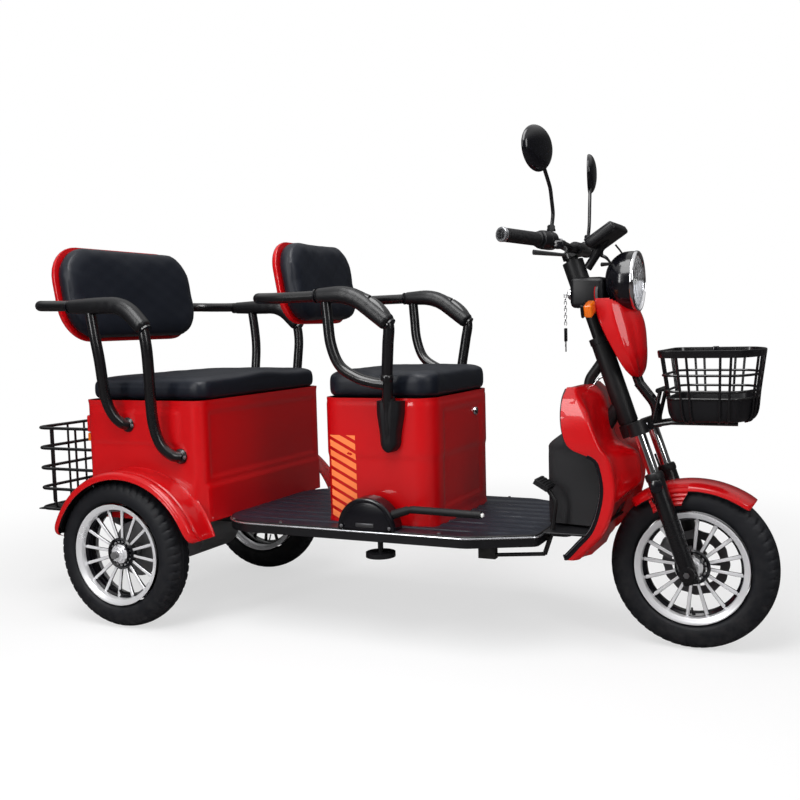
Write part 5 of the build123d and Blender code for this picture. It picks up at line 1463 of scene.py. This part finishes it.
def makeControls():
    piece = Piece("handControls")
    for side in (-1, 1):
        end, start = gripEnd * [side, 1, 1], gripStart * [side, 1, 1]
        axisLine = start - end
        # ribbed grip: the radius ripples along it; a flange at each end
        t = np.linspace(-0.035, 0.66, 150)
        ripple = gripLook["ripple"] * np.cos(t * 2 * math.pi / gripLook["ripplePitch"])
        radius = gripLook["radius"] + ripple + 0.0026 * np.exp(-((t - 0.652) / 0.012) ** 2)
        radius += 0.001 * np.exp(-((t + 0.03) / 0.01) ** 2)
        piece.tube(end + axisLine * t[:, None], radius, "rubber", 28, (0, 0, 1))
        band = np.array([-0.04, -0.036, 0.01, 0.014])
        bandRadius = [0.016, 0.0168, 0.0168, 0.016]
        piece.tube(end + axisLine * band[:, None], bandRadius, "silverTrim", 28, (0, 0, 1))
        capLine = np.array([-0.04, -0.037])
        piece.tube(end + axisLine * capLine[:, None], 0.012, "plasticSmooth", 24, (0, 0, 1))
        # switch cluster in two halves with its buttons
        t = np.array([0.685, 0.7, 0.75, 0.81, 0.818, 0.826, 0.88, 0.94, 0.97])
        radius = [0.0165, 0.0215, 0.0226, 0.0226, 0.0214, 0.0226, 0.0226, 0.0215, 0.0165]
        piece.tube(end + axisLine * t[:, None], radius, "plasticBlack", 32, (0, 0, 1))
        face = end + axisLine * 0.8 + np.array([0, 0.0195, 0.0085])
        seat = Matrix.Translation(face)
        piece.block((-0.016, -0.003, -0.004), (0.016, 0.0035, 0.004), 0.0015, "plasticSmooth", seat, 2)
        knob = end + axisLine * 0.88 + np.array([0, 0.0215, -0.002])
        piece.turn([(0, 0.004), (0.0042, 0.0035), (0.005, 0.0), (0.005, -0.003)], knob, (0, 1, 0),
                   "redKnob" if side < 0 else "greenKnob", 20)
        # perch and blade of the lever
        bends = [barMiddle + [0.168, 0.006, 0.034], barMiddle + [0.184, -0.042, 0.014],
                 barMiddle + [0.22, -0.046, -0.002], barMiddle + [0.304, 0.002, 0.002]]
        lever = bentPath(bends, 0.022, 0.004) * [side, 1, 1]
        share = np.linspace(0, 1, len(lever))
        size = gripLook["lever"] - 0.0008 * smoothStep(share, 0.3,
                                                       0.9) + 0.002 * np.exp(-((share - 1.0) / 0.02) ** 2)
        section = ring(1, 16, 0.62)[None] * size[:, None, None]
        piece.grid(sweep(lever, section, (0, 0, 1)), "leverGrey", wrapColumns=True, capped=True)
        perch = (barMiddle + [0.176, -0.02, 0.026]) * [side, 1, 1]
        piece.block(perch - [0.012, 0.014, 0.01], perch + [0.012, 0.012, 0.01], 0.004, "plasticSmooth")
        piece.bolt(perch + [0, -0.004, 0.0105], (0, 0, 1), 0.0038, "steel")
    piece.make("steering", ["hand_controls"], crease=35)


makeMirrors()
makeControls()
print("controls made")


# floor
floorLook = dict(front=-0.5353, back=0.367, taper=-0.3755, frontHalf=0.195, half=0.27, ribPitch=0.052,
                 ribHeight=0.003, finePitch=0.0065, fineHeight=0.0006)
floorCorners = (0.02, 0.02, 0.07, 0.12, 0.12, 0.07)


def floorOutline(inset, count):
    # straight runs with rounded corners, drawn in by the inset, as a closed line
    look = floorLook
    f, b, t = look["front"] + inset, look["back"] - inset, look["taper"]
    corners = np.array([(-look["frontHalf"] + inset, f), (look["frontHalf"] - inset, f),
                        (look["half"] - inset, t), (look["half"] - inset, b), (-look["half"] + inset, b),
                        (-look["half"] + inset, t)])
    line = []
    around = zip(np.roll(corners, 1, 0), corners, np.roll(corners, -1, 0), floorCorners)
    for before, corner, after, radius in around:
        back, ahead = unit(before - corner), unit(after - corner)
        turn = math.pi - math.acos(np.clip(back @ ahead, -1, 1))
        reach = (radius - inset) * math.tan(turn / 2)
        t = np.linspace(0, 1, 14)[:, None]
        weight = math.cos(turn / 2)
        start, end = corner + back * reach, corner + ahead * reach
        blend = (1 - t) ** 2 * start + 2 * t * (1 - t) * weight * corner + t * t * end
        line.append(blend / ((1 - t) ** 2 + 2 * t * (1 - t) * weight + t * t))
    return evenly(np.vstack(line), count)


def halfWidthAt(outline, y):
    right = outline[outline[:, 0] > 0]
    order = np.argsort(right[:, 1])
    return np.interp(y, right[order, 1], right[order, 0])


def makeFloor():
    look = floorLook
    piece = Piece("floorMat")
    outline = floorOutline(0.0, 600)
    edge = floorOutline(0.0035, 600)
    across = np.linspace(look["front"] + 0.006, look["back"] - 0.006, 80)
    y = np.concatenate([[look["front"] + 0.0036], across, [look["back"] - 0.0036]])
    half = halfWidthAt(edge, y)
    u = np.linspace(-1, 1, 181)
    x = half[:, None] * u[None]
    inside = (1 - smoothStep(np.abs(x), half[:, None] - 0.03, half[:, None] - 0.022))
    rows = smoothStep(y, look["front"] + 0.02, look["front"] + 0.03)
    rows = rows * (1 - smoothStep(y, look["back"] - 0.03, look["back"] - 0.02))
    wave = smoothStep(np.cos(2 * math.pi * x / look["ribPitch"]), 0.15, 0.6)
    z = 0.3002 + look["ribHeight"] * wave * inside * rows[:, None]
    fine = look["fineHeight"] * smoothStep(np.cos(2 * math.pi * x / look["finePitch"]), 0.2, 0.8)
    fine = fine * (1 - wave) * inside * rows[:, None]
    piece.grid(np.stack([x, np.broadcast_to(y[:, None], x.shape), z + fine], -1), "matBlack")
    under = floorOutline(0.004, 600)
    levels = [(edge, 0.3002), (floorOutline(0.0012, 600), 0.2998), (outline, 0.2985), (outline, 0.2708),
              (floorOutline(0.001, 600), 0.2702), (under, 0.2702), (under, 0.294)]
    wall = np.stack([np.column_stack([line, np.full(600, z)]) for line, z in levels])
    piece.grid(wall, "plasticBlack", wrapColumns=True)
    yBottom = np.linspace(look["front"] + 0.0042, look["back"] - 0.0042, 60)
    xBottom = halfWidthAt(under, yBottom)[:, None] * np.linspace(-1, 1, 21)[None]
    piece.grid(np.stack([xBottom, np.broadcast_to(yBottom[:, None], xBottom.shape),
                         np.full(xBottom.shape, 0.294)], -1), "plasticBlack")
    # bright strip let into the edge
    strip = np.column_stack([floorOutline(-0.0006, 600), np.full(600, 0.294)])
    piece.tube(strip, 0.0026, "silverTrim", 8, (0, 0, 1), closed=True)
    for side in (-1, 1):
        for place in (-0.3, -0.16, 0.16, 0.31):
            piece.bolt((side * 0.256, place, 0.3006), (0, 0, 1), 0.0042, "steel")
    piece.make("chassis", ["deck"], crease=35)


makeFloor()


# hand brake, sockets and lamps
handBrakeLook = dict(middle=(0.0, -0.1035, 0.3004), lever=0.0118, neck=0.0035)


def makeHandBrake():
    piece = Piece("handBrake")
    middle = np.array(handBrakeLook["middle"])
    profile = np.array([(0.082, -0.2285), (0.082, -0.264), (0.0812, -0.269), (0.079, -0.2722),
                        (0.0755, -0.2735), (0.072, -0.2728), (0.07, -0.2705), (0.068, -0.2695),
                        (0.06, -0.2708), (0.04, -0.2728), (0.02, -0.2738), (0.001, -0.274)])
    angle = np.linspace(0, math.pi, 97)[:, None]
    dome = np.stack([np.broadcast_to(profile[None, :, 1], (97, len(profile))),
                     profile[None, :, 0] * np.cos(angle), profile[None, :, 0] * np.sin(angle)], -1) + middle
    piece.grid(dome, "plasticSmooth")
    foot = np.stack([dome[0], dome[-1]])
    piece.grid(foot, "plasticSmooth")
    backFace = np.stack([dome[:, 0], np.broadcast_to(middle + [-0.2285, 0, 0], (97, 3))])
    piece.grid(backFace, "plasticSmooth")
    # pressed window near the foot and two screws
    piece.block((-0.2752, -0.128, 0.306), (-0.27, -0.076, 0.3175), 0.002, "leverGrey", segments=2)
    for y in (-0.172, -0.035):
        piece.bolt((-0.2742, y, 0.3075), (-1, 0, 0), 0.0034, "steel")
    bends = [(-0.251, -0.1435, 0.33), (-0.255, -0.2235, 0.356), (-0.256, -0.414, 0.353)]
    path = bentPath(bends, 0.06, 0.005)
    share = np.linspace(0, 1, len(path))
    size = handBrakeLook["lever"] - handBrakeLook["neck"] * smoothStep(share, 0.05, 0.45)
    size = size + 0.0012 * smoothStep(share, 0.5, 0.6)
    piece.tube(path, size, "rubber", 24, (1, 0, 0))
    piece.turn([(0, 0.0058), (0.004, 0.0052), (0.0052, 0.0036), (0.0055, -0.002)], path[-1], (0, -1, 0),
               "whitePlastic", 24)
    piece.make("chassis", ["hand_brake"], crease=35)


socketLook = dict(low=0.4925, tall=0.132, wall=0.2062, middle=-0.157)


def makeSockets():
    # pocket for each front armrest post: a U seen from the side, with ribs inside
    piece = Piece("armrestSockets")
    for side in (-1, 1):
        t = np.linspace(0, 1, 60)
        z = socketLook["low"] + socketLook["tall"] * t
        round_ = np.sqrt(np.clip(1 - (1 - np.clip(t / 0.22, 0, 1)) ** 2, 0, 1))
        halfY = (0.0265 + 0.01 * smoothStep(t, 0.25, 0.85)) * np.maximum(round_, 0.04)
        reach = 0.024 + 0.015 * round_ * (0.7 + 0.3 * smoothStep(t, 0.1, 0.9))
        u = np.linspace(-1, 1, 41)
        bulge = (1 - np.abs(u) ** 3.2) ** (1 / 2.4)
        x = side * (socketLook["wall"] + reach[:, None] * bulge[None])
        rib = 0.001 * smoothStep(np.cos(u * 2 * math.pi * 2.5), 0.4, 0.8)[None]
        rib = rib * smoothStep(t, 0.25, 0.35)[:, None]
        x = x + side * rib
        y = socketLook["middle"] + halfY[:, None] * u[None] + 0.004 * (1 - t)[:, None]
        outer = np.stack([x, y, np.broadcast_to(z[:, None], x.shape)], -1)
        piece.grid(outer, "plasticBlack")
        lid = np.stack([outer[-1], outer[-1] * [0, 1, 1] + [side * socketLook["wall"], 0, 0]])
        piece.grid(lid, "plasticBlack")
        collar = np.array([(side * 0.2305, -0.1578, 0.6235), (side * 0.2325, -0.158, 0.634)])
        piece.tube(collar, [0.0185, 0.0165], "rubber", 24, (0, 1, 0))
    piece.make("chassis", ["armrest_sockets"], crease=40)


tailLampLook = dict(half=0.258, halfWide=0.0215, low=0.5005, high=0.5795)


def makeTailLamps():
    piece = Piece("tailLamps")
    for side in (-1, 1):
        middle, wide = side * tailLampLook["half"], tailLampLook["halfWide"]
        low = np.array([middle - wide, 0.768, tailLampLook["low"]])
        high = np.array([middle + wide, 0.774, tailLampLook["high"]])
        piece.block(low, high, 0.0025, "plasticSmooth")
        piece.block(low + [0.002, 0.005, 0.028], high + [-0.002, 0.019, -0.002], 0.005, "redLens",
                    segments=4)
        piece.block(low + [0.002, 0.005, 0.002], high + [-0.002, 0.018, -0.0525], 0.0045, "amber",
                    segments=4)
    piece.make("chassis", ["tail_lamps"], crease=40)


makeHandBrake()
makeSockets()
makeTailLamps()
print("floor and brakes made")

# baskets
basketLook = dict(half=0.14, back=-0.8095, side=-1.0035, middle=-1.0475, low=0.57, high=0.742, taper=0.8,
                  corner=0.034)
basketMiddle = (basketLook["middle"] + basketLook["back"]) / 2


def basketShare(z):
    look = basketLook
    return look["taper"] + (1 - look["taper"]) * (z - look["low"]) / (look["high"] - look["low"])


def basketLine(z, count=240, inset=0.0, scale=1.0):
    # plan of the basket at a height: straight back and sides, a bowed front
    look = basketLook
    share = basketShare(z) * scale
    half = look["half"] - inset
    back, side, middle = look["back"] - inset, look["side"] + inset * 0.6, look["middle"] + inset
    bow = threePointArc((half, side), (0.0, middle), (-half, side), 40)
    centre, radius, angle = bow
    angle = np.linspace(angle[0], angle[-1] if angle[-1] < angle[0] else angle[-1] - 2 * math.pi, 40)
    front = np.stack([centre[0] + radius * np.cos(angle), centre[1] + radius * np.sin(angle)], -1)
    c = look["corner"]
    t = np.linspace(0, 1, 14)[:, None]
    corners = []
    for sign in (-1, 1):
        a = np.array([sign * half, back - c])
        b = np.array([sign * half, back])
        d = np.array([sign * (half - c), back])
        arc = (1 - t) ** 2 * a + 2 * t * (1 - t) * b + t * t * d
        corners.append(arc if sign < 0 else arc[::-1])
    line = evenly(np.vstack([front, corners[0], corners[1]]), count)
    for _ in range(14):
        line = 0.5 * line + 0.25 * (np.roll(line, 1, 0) + np.roll(line, -1, 0))
    flat = np.stack([line[:, 0] * share, basketMiddle + (line[:, 1] - basketMiddle) * share], -1)
    return np.column_stack([flat, np.full(count, z)])


frontBasketWire = 0.0031


def makeFrontBasket():
    piece = Piece("frontBasket")
    band = []
    for z, grow in ((0.724, -0.004), (0.7245, 0.0), (0.729, 0.0008), (0.737, 0.0008), (0.741, 0.0),
                    (0.7418, -0.002), (0.741, -0.0045), (0.73, -0.005)):
        line = basketLine(z)
        out = line - [0, basketMiddle, 0]
        reach = np.hypot(out[:, 0], out[:, 1])[:, None]
        line[:, :2] += out[:, :2] / reach * grow
        band.append(line)
    piece.grid(np.stack(band), "tubeBlack", wrapRows=True, wrapColumns=True)
    for z in (0.683, 0.645):
        piece.tube(basketLine(z, 200, 0.003), frontBasketWire, "tubeBlack", 10, (0, 0, 1), closed=True)
    # closed tray with a rounded foot and a small rolled rim
    rows = []
    for z, scale in ((0.5712, 0.05), (0.571, 0.5), (0.5708, 0.84), (0.5716, 0.905), (0.5745, 0.95),
                     (0.58, 0.98), (0.588, 0.995), (0.6, 1.0), (0.615, 1.0), (0.627, 1.0)):
        rows.append(basketLine(z, 240, 0.004, scale))
    tray = np.stack(rows)
    lining = tray.copy()
    lining[..., 0] *= 0.975
    lining[..., 1] = basketMiddle + (tray[..., 1] - basketMiddle) * 0.975
    lining[..., 2] += 0.0025 * np.linspace(1, 0, len(rows))[:, None]
    shell(piece, tray, lining, "plasticBlack", wrapColumns=True)
    piece.tube(basketLine(0.6275, 200, 0.004), 0.003, "tubeBlack", 10, (0, 0, 1), closed=True)
    # uprights in pairs, from the rim down round the tray's foot
    places = []
    full = basketLine(0.742, 720, 0.0)
    for x, back in ((-0.08, 1), (-0.056, 1), (0.056, 1), (0.08, 1), (-0.066, 0), (-0.042, 0), (0.042, 0),
                    (0.066, 0)):
        half = full[full[:, 1] > basketMiddle] if back else full[full[:, 1] < basketMiddle]
        places.append(half[np.argmin(np.abs(half[:, 0] - x))])
    for y in (-0.856, -0.88, -0.96, -0.984):
        for sign in (-1, 1):
            half = full[full[:, 0] * sign > 0.06]
            places.append(half[np.argmin(np.abs(half[:, 1] - y))])
    for x, y, _ in places:
        line = []
        for z, scale in ((0.739, 0.985), (0.7, 0.985), (0.64, 0.985), (0.6, 1.0), (0.585, 0.985),
                         (0.574, 0.93), (0.5705, 0.84)):
            share = basketShare(z) * scale
            line.append((x * share, basketMiddle + (y - basketMiddle) * share, z))
        piece.tube(throughPoints(line, 22), frontBasketWire, "tubeBlack", 8)
    # clip on the rim
    piece.block((0.092, -0.922, 0.728), (0.112, -0.908, 0.7445), 0.002, "plasticSmooth", segments=2)
    piece.make("steering", ["front_basket"], crease=45)


rearBasketLook = dict(half=0.2, start=0.768, end=1.077, low=0.274, hoops=5, step=0.062, hoopWire=0.0048,
                      wire=0.0034)


def makeRearBasket():
    piece = Piece("rearBasket")
    look = rearBasketLook
    half, start, end, low = look["half"], look["start"], look["end"], look["low"]
    levels = [low + 0.004 + step * look["step"] for step in range(look["hoops"])]
    for z in levels:
        hoop = bentPath([(-half, start, z), (-half, end, z), (half, end, z), (half, start, z)], 0.05, 0.004)
        piece.tube(hoop, look["hoopWire"], "tubeBlack", 12, (0, 0, 1))
    top = levels[-1]
    for x in (-0.14, -0.07, 0.0, 0.07, 0.14):
        line = bentPath([(x, start + 0.004, low + 0.0035), (x, end - 0.0035, low + 0.0035),
                         (x, end - 0.0035, top)], 0.02, 0.003)
        piece.tube(line, look["wire"], "tubeBlack", 10)
    for y in (start + 0.06, start + 0.15, start + 0.24):
        line = bentPath([(-half + 0.0035, y, top), (-half + 0.0035, y, low + 0.0035),
                         (half - 0.0035, y, low + 0.0035), (half - 0.0035, y, top)], 0.02, 0.003)
        piece.tube(line, look["wire"], "tubeBlack", 10, (0, 1, 0))
    piece.block((-half, start + 0.022, low), (half, end + 0.0005, low + 0.004), 0.0015, "frameBlack",
                segments=2)
    for x in (-0.2, 0.2):
        for z in levels[1::2]:
            piece.bolt((x, start + 0.002, z), (0, 1, 0), 0.006, "steel")
    piece.make("chassis", ["rear_basket"], crease=45)


makeFrontBasket()
makeRearBasket()
print("baskets made")


# fork, brake and small fittings
forkLook = dict(half=0.078, legLine=-0.036, foot=-0.487)


def makeForkFittings():
    piece = Piece("forkFittings")
    upward = headPoint(0, 0, 1) - headPoint(0, 0, 0)
    for side in (-1, 1):
        half, line, low = forkLook["half"], forkLook["legLine"], forkLook["foot"]
        top = headPoint(side * half, line, low + 0.242)
        seal = [(0.0152, -0.006), (0.0222, -0.006), (0.023, -0.002), (0.023, 0.006), (0.021, 0.011),
                (0.015, 0.0125)]
        piece.turn(seal, top, upward, "rubber", 32, closed=True)
        foot = headPoint(side * half, line, low)
        nut = foot + [side * 0.0215, 0, 0]
        piece.bolt(nut, (side, 0, 0), 0.0085, "steel")
        # round dark cap beside each slider's top
        cap = headPoint(side * 0.0985, line, low + 0.222)
        piece.turn([(0, 0.0055), (0.01, 0.005), (0.0155, 0.0025), (0.0165, -0.001), (0.012, -0.003)], cap,
                   (side, 0, 0), "plasticSmooth", 32)
    ahead = headPoint(0, -1, 0) - headPoint(0, 0, 0)
    for z in (-0.118, -0.132):
        for side in (-1, 1):
            piece.bolt(headPoint(side * 0.05, -0.0525, z), ahead, 0.0042, "steel")
    # upper end of the carrier tube, behind the foot of the cowl
    carrier = [(0, -0.747, 0.65), (0, -0.74, 0.668), (0, -0.733, 0.69), (0, -0.729, 0.715)]
    piece.tube(throughPoints(carrier, 12), 0.0125, "tubeBlack", 20)
    piece.make("steering", crease=35)


caliperLook = dict(tilt=25, arm=0.0075, hose=0.0028)


def makeCaliper():
    # floating caliper over the front disc: two jaws, a bridge and its hose fitting
    piece = Piece("brakeCaliper")
    spot = frontAxle + [0, 0.066, 0.031]
    seat = tiltedFrame(spot, caliperLook["tilt"], "X")
    piece.block((0.036, -0.016, -0.024), (0.0525, 0.018, 0.024), 0.005, "castGrey", seat, 3)
    piece.block((0.023, -0.014, -0.022), (0.0305, 0.018, 0.022), 0.003, "castGrey", seat, 2)
    piece.block((0.024, 0.017, -0.018), (0.05, 0.0235, 0.018), 0.002, "castGrey", seat, 2)
    arm = np.linspace(spot + [0.046, 0.004, -0.014], frontAxle + [0.0555, 0.012, 0.03], 5)
    piece.tube(arm, caliperLook["arm"], "castGrey", 14)
    hose = throughPoints([spot + [0.05, 0.004, 0.024], spot + [0.054, -0.002, 0.06],
                          headPoint(0.07, -0.02, -0.29), headPoint(0.062, -0.022, -0.2)], 40)
    piece.tube(hose, caliperLook["hose"], "rubber", 8)
    piece.make("steering", crease=35)


keyLook = dict(links=9, step=0.0085, wire=0.0009)


def makeFrontFittings():
    # ignition lock and its keys on a short chain; a bag hook on the head
    piece = Piece("ignitionKeys")
    spot = np.array([-0.03, headMiddle[1] + 0.1042, 0.882])
    piece.turn([(0, 0.0075), (0.0095, 0.007), (0.011, 0.005), (0.0135, 0.0035), (0.014, -0.002)], spot,
               (0, 1, 0), "chrome", 32)
    piece.block(spot + [-0.01, 0.006, -0.0012], spot + [0.01, 0.017, 0.0012], 0.0008, "steel", segments=2)
    chain = spot + np.array([0, 0.015, -0.004])
    for number in range(keyLook["links"]):
        middle = chain - [0, 0, keyLook["step"] * number]
        t = np.linspace(0, 2 * math.pi, 20, endpoint=False)
        wide = np.array([0.003, 0, 0]) if number % 2 else np.array([0, 0.003, 0])
        loop = middle + np.cos(t)[:, None] * wide + np.sin(t)[:, None] * np.array([0, 0, 0.0056])
        piece.tube(loop, keyLook["wire"], "chrome", 6, (0, 1, 0) if number % 2 else (1, 0, 0), closed=True)
    low = chain - [0, 0, 0.078]
    piece.block(low + [-0.01, -0.002, -0.036], low + [0.01, 0.002, -0.002], 0.0018, "plasticSmooth",
                segments=2)
    piece.block(low + [-0.004, -0.0008, -0.062], low + [0.0035, 0.0008, -0.034], 0.0006, "steel", segments=2)
    piece.block(low + [0.006, 0.003, -0.05], low + [0.013, 0.0045, -0.01], 0.0006, "steel", segments=2)
    piece.make("steering", crease=35)
    hook = Piece("bagHook")
    start = np.array([0.0, -0.656, 0.675])
    line = throughPoints([start, start + [-0.004, 0.014, -0.006], start + [-0.006, 0.028, -0.024],
                          start + [-0.006, 0.034, -0.04], start + [-0.006, 0.044, -0.048],
                          start + [-0.006, 0.054, -0.04], start + [-0.006, 0.056, -0.028]], 40)
    hook.tube(line, 0.0032, "chrome", 12)
    hook.make("chassis", crease=35)


pedalLook = dict(tilt=30, ribs=5)


def makePedalPad():
    # ribbed rubber pad over the foot pedal
    piece = Piece("pedalPad")
    seat = tiltedFrame((-0.122, frontAxle[1] + 0.346, 0.412), pedalLook["tilt"], "X")
    piece.block((-0.03, -0.021, 0.0045), (0.03, 0.021, 0.0085), 0.0018, "rubber", seat, 2)
    for place in np.linspace(-0.015, 0.015, pedalLook["ribs"]):
        piece.block((-0.027, place - 0.0018, 0.008), (0.027, place + 0.0018, 0.01), 0.0008, "rubber", seat,
                    2)
    piece.make("chassis", crease=35)


makeForkFittings()
makeCaliper()
makeFrontFittings()
makePedalPad()
print("fittings made")


# stage, lights and camera
stageLook = dict(floorSize=40.0, floorColour=(0.92, 0.92, 0.925), floorMirrored=(0.1, 0.09, 0.09),
                 worldLight=0.3, mirrored=0.06, mirroredTop=0.75, plain=0.62, fadeStart=1.0, fadeEnd=2.6)


def makeStage():
    reach = stageLook["floorSize"] / 2
    mesh = bpy.data.meshes.new("floor")
    mesh.from_pydata([(-reach, -reach, 0), (reach, -reach, 0), (reach, reach, 0), (-reach, reach, 0)], [],
                     [(0, 1, 2, 3)])
    floor = newObject("floor", mesh)
    material = bpy.data.materials.new("paleFloor")
    material.use_nodes = True
    tree = material.node_tree
    tree.nodes.clear()
    out = tree.nodes.new("ShaderNodeOutputMaterial")
    rays = tree.nodes.new("ShaderNodeLightPath")
    # the floor is pale to the eye and darker where glossy paint mirrors it
    tint = mixColour(tree, rays.outputs["Is Glossy Ray"], (*stageLook["floorColour"], 1),
                     (*stageLook["floorMirrored"], 1))
    plain = put(tree, "BsdfDiffuse", Color=tint)
    # turns to plain white away from the vehicle, for what the camera sees directly
    place = tree.nodes.new("ShaderNodeTexCoord").outputs["Object"]
    reachNode = put(tree, "VectorMath", {"operation": "LENGTH"}, i0=place)
    fade = put(tree, "MapRange", {"interpolation_type": "SMOOTHSTEP"}, Value=reachNode.outputs["Value"],
               i1=stageLook["fadeStart"], i2=stageLook["fadeEnd"], i3=stageLook["plain"], i4=1.0)
    share = mathNode(tree, "MULTIPLY", fade.outputs[0], rays.outputs["Is Camera Ray"])
    white = put(tree, "Emission", Color=(1, 1, 1, 1), Strength=1.0)
    mixed = tree.nodes.new("ShaderNodeMixShader")
    tree.links.new(share, mixed.inputs[0])
    tree.links.new(plain.outputs[0], mixed.inputs[1])
    tree.links.new(white.outputs[0], mixed.inputs[2])
    tree.links.new(mixed.outputs[0], out.inputs[0])
    mesh.materials.append(material)


def makeWorld():
    # white where it is seen or seen through; mirrored, it is dim near the ground and
    # brighter overhead, as a studio is
    world = bpy.data.worlds.new("paleWorld")
    bpy.context.scene.world = world
    world.use_nodes = True
    tree = world.node_tree
    tree.nodes.clear()
    out = tree.nodes.new("ShaderNodeOutputWorld")
    rays = tree.nodes.new("ShaderNodeLightPath")
    seen = mathNode(tree, "MAXIMUM", rays.outputs["Is Camera Ray"], rays.outputs["Is Transmission Ray"])
    direction = tree.nodes.new("ShaderNodeTexCoord").outputs["Generated"]
    height = put(tree, "SeparateXYZ", Vector=direction).outputs[2]
    overhead = put(tree, "MapRange", {"interpolation_type": "SMOOTHSTEP"}, Value=height, i1=0.3, i2=0.75,
                   i3=stageLook["mirrored"], i4=stageLook["mirroredTop"]).outputs[0]
    glossy = rays.outputs["Is Glossy Ray"]
    base = mathNode(tree, "MULTIPLY", mathNode(tree, "SUBTRACT", 1.0, glossy), stageLook["worldLight"])
    base = mathNode(tree, "ADD", base, mathNode(tree, "MULTIPLY", glossy, overhead))
    strength = put(tree, "MapRange", Value=seen, i3=base, i4=1.0)
    light = put(tree, "Background", Color=(1, 1, 1, 1), Strength=strength.outputs[0])
    tree.links.new(light.outputs[0], out.inputs[0])


def areaLight(name, place, target, size, power):
    data = bpy.data.lights.new(name, "AREA")
    data.shape, data.size, data.size_y, data.energy = "RECTANGLE", size[0], size[1], power
    lamp = newObject(name, data)
    lamp.matrix_world = lookMatrix(np.array(place, float), unit(np.subtract(target, place)), 0.0)


def lookMatrix(place, direction, roll):
    # right, up and back axes of something at a place that looks along a direction
    right = unit(np.cross(direction, (0, 0, 1)))
    upward = np.cross(right, direction)
    right, upward = (right * math.cos(roll) + upward * math.sin(roll),
                     upward * math.cos(roll) - right * math.sin(roll))
    matrix = Matrix.Identity(4)
    for row in range(3):
        matrix[row][:] = (right[row], upward[row], -direction[row], place[row])
    return matrix


cameraLook = dict(place=(-2.4067, -1.2712, 0.8186), yaw=23.5725, pitch=4.5586, roll=-1.307, lens=43.6536,
                  shift=-0.06)


def makeCamera():
    data = bpy.data.cameras.new("camera")
    data.sensor_width = 36
    data.lens = cameraLook["lens"]
    data.shift_x = cameraLook["shift"]
    camera = newObject("camera", data)
    yaw, pitch = math.radians(cameraLook["yaw"]), math.radians(cameraLook["pitch"])
    direction = np.array([math.cos(yaw) * math.cos(pitch), math.sin(yaw) * math.cos(pitch),
                          -math.sin(pitch)])
    camera.matrix_world = lookMatrix(np.array(cameraLook["place"]), direction,
                                     math.radians(cameraLook["roll"]))
    bpy.context.scene.camera = camera


makeStage()
makeWorld()
areaLight("skyPanel", (-1.3, -0.2, 3.0), (0, 0, 0.4), (1.6, 2.6), 78)
areaLight("sidePanel", (-3.4, 1.2, 1.7), (0, 0.1, 0.5), (0.7, 2.0), 38)
areaLight("frontPanel", (-1.8, -3.2, 1.9), (0, -0.3, 0.6), (0.9, 1.6), 22)
makeCamera()
bpy.context.scene.view_settings.view_transform = "Standard"
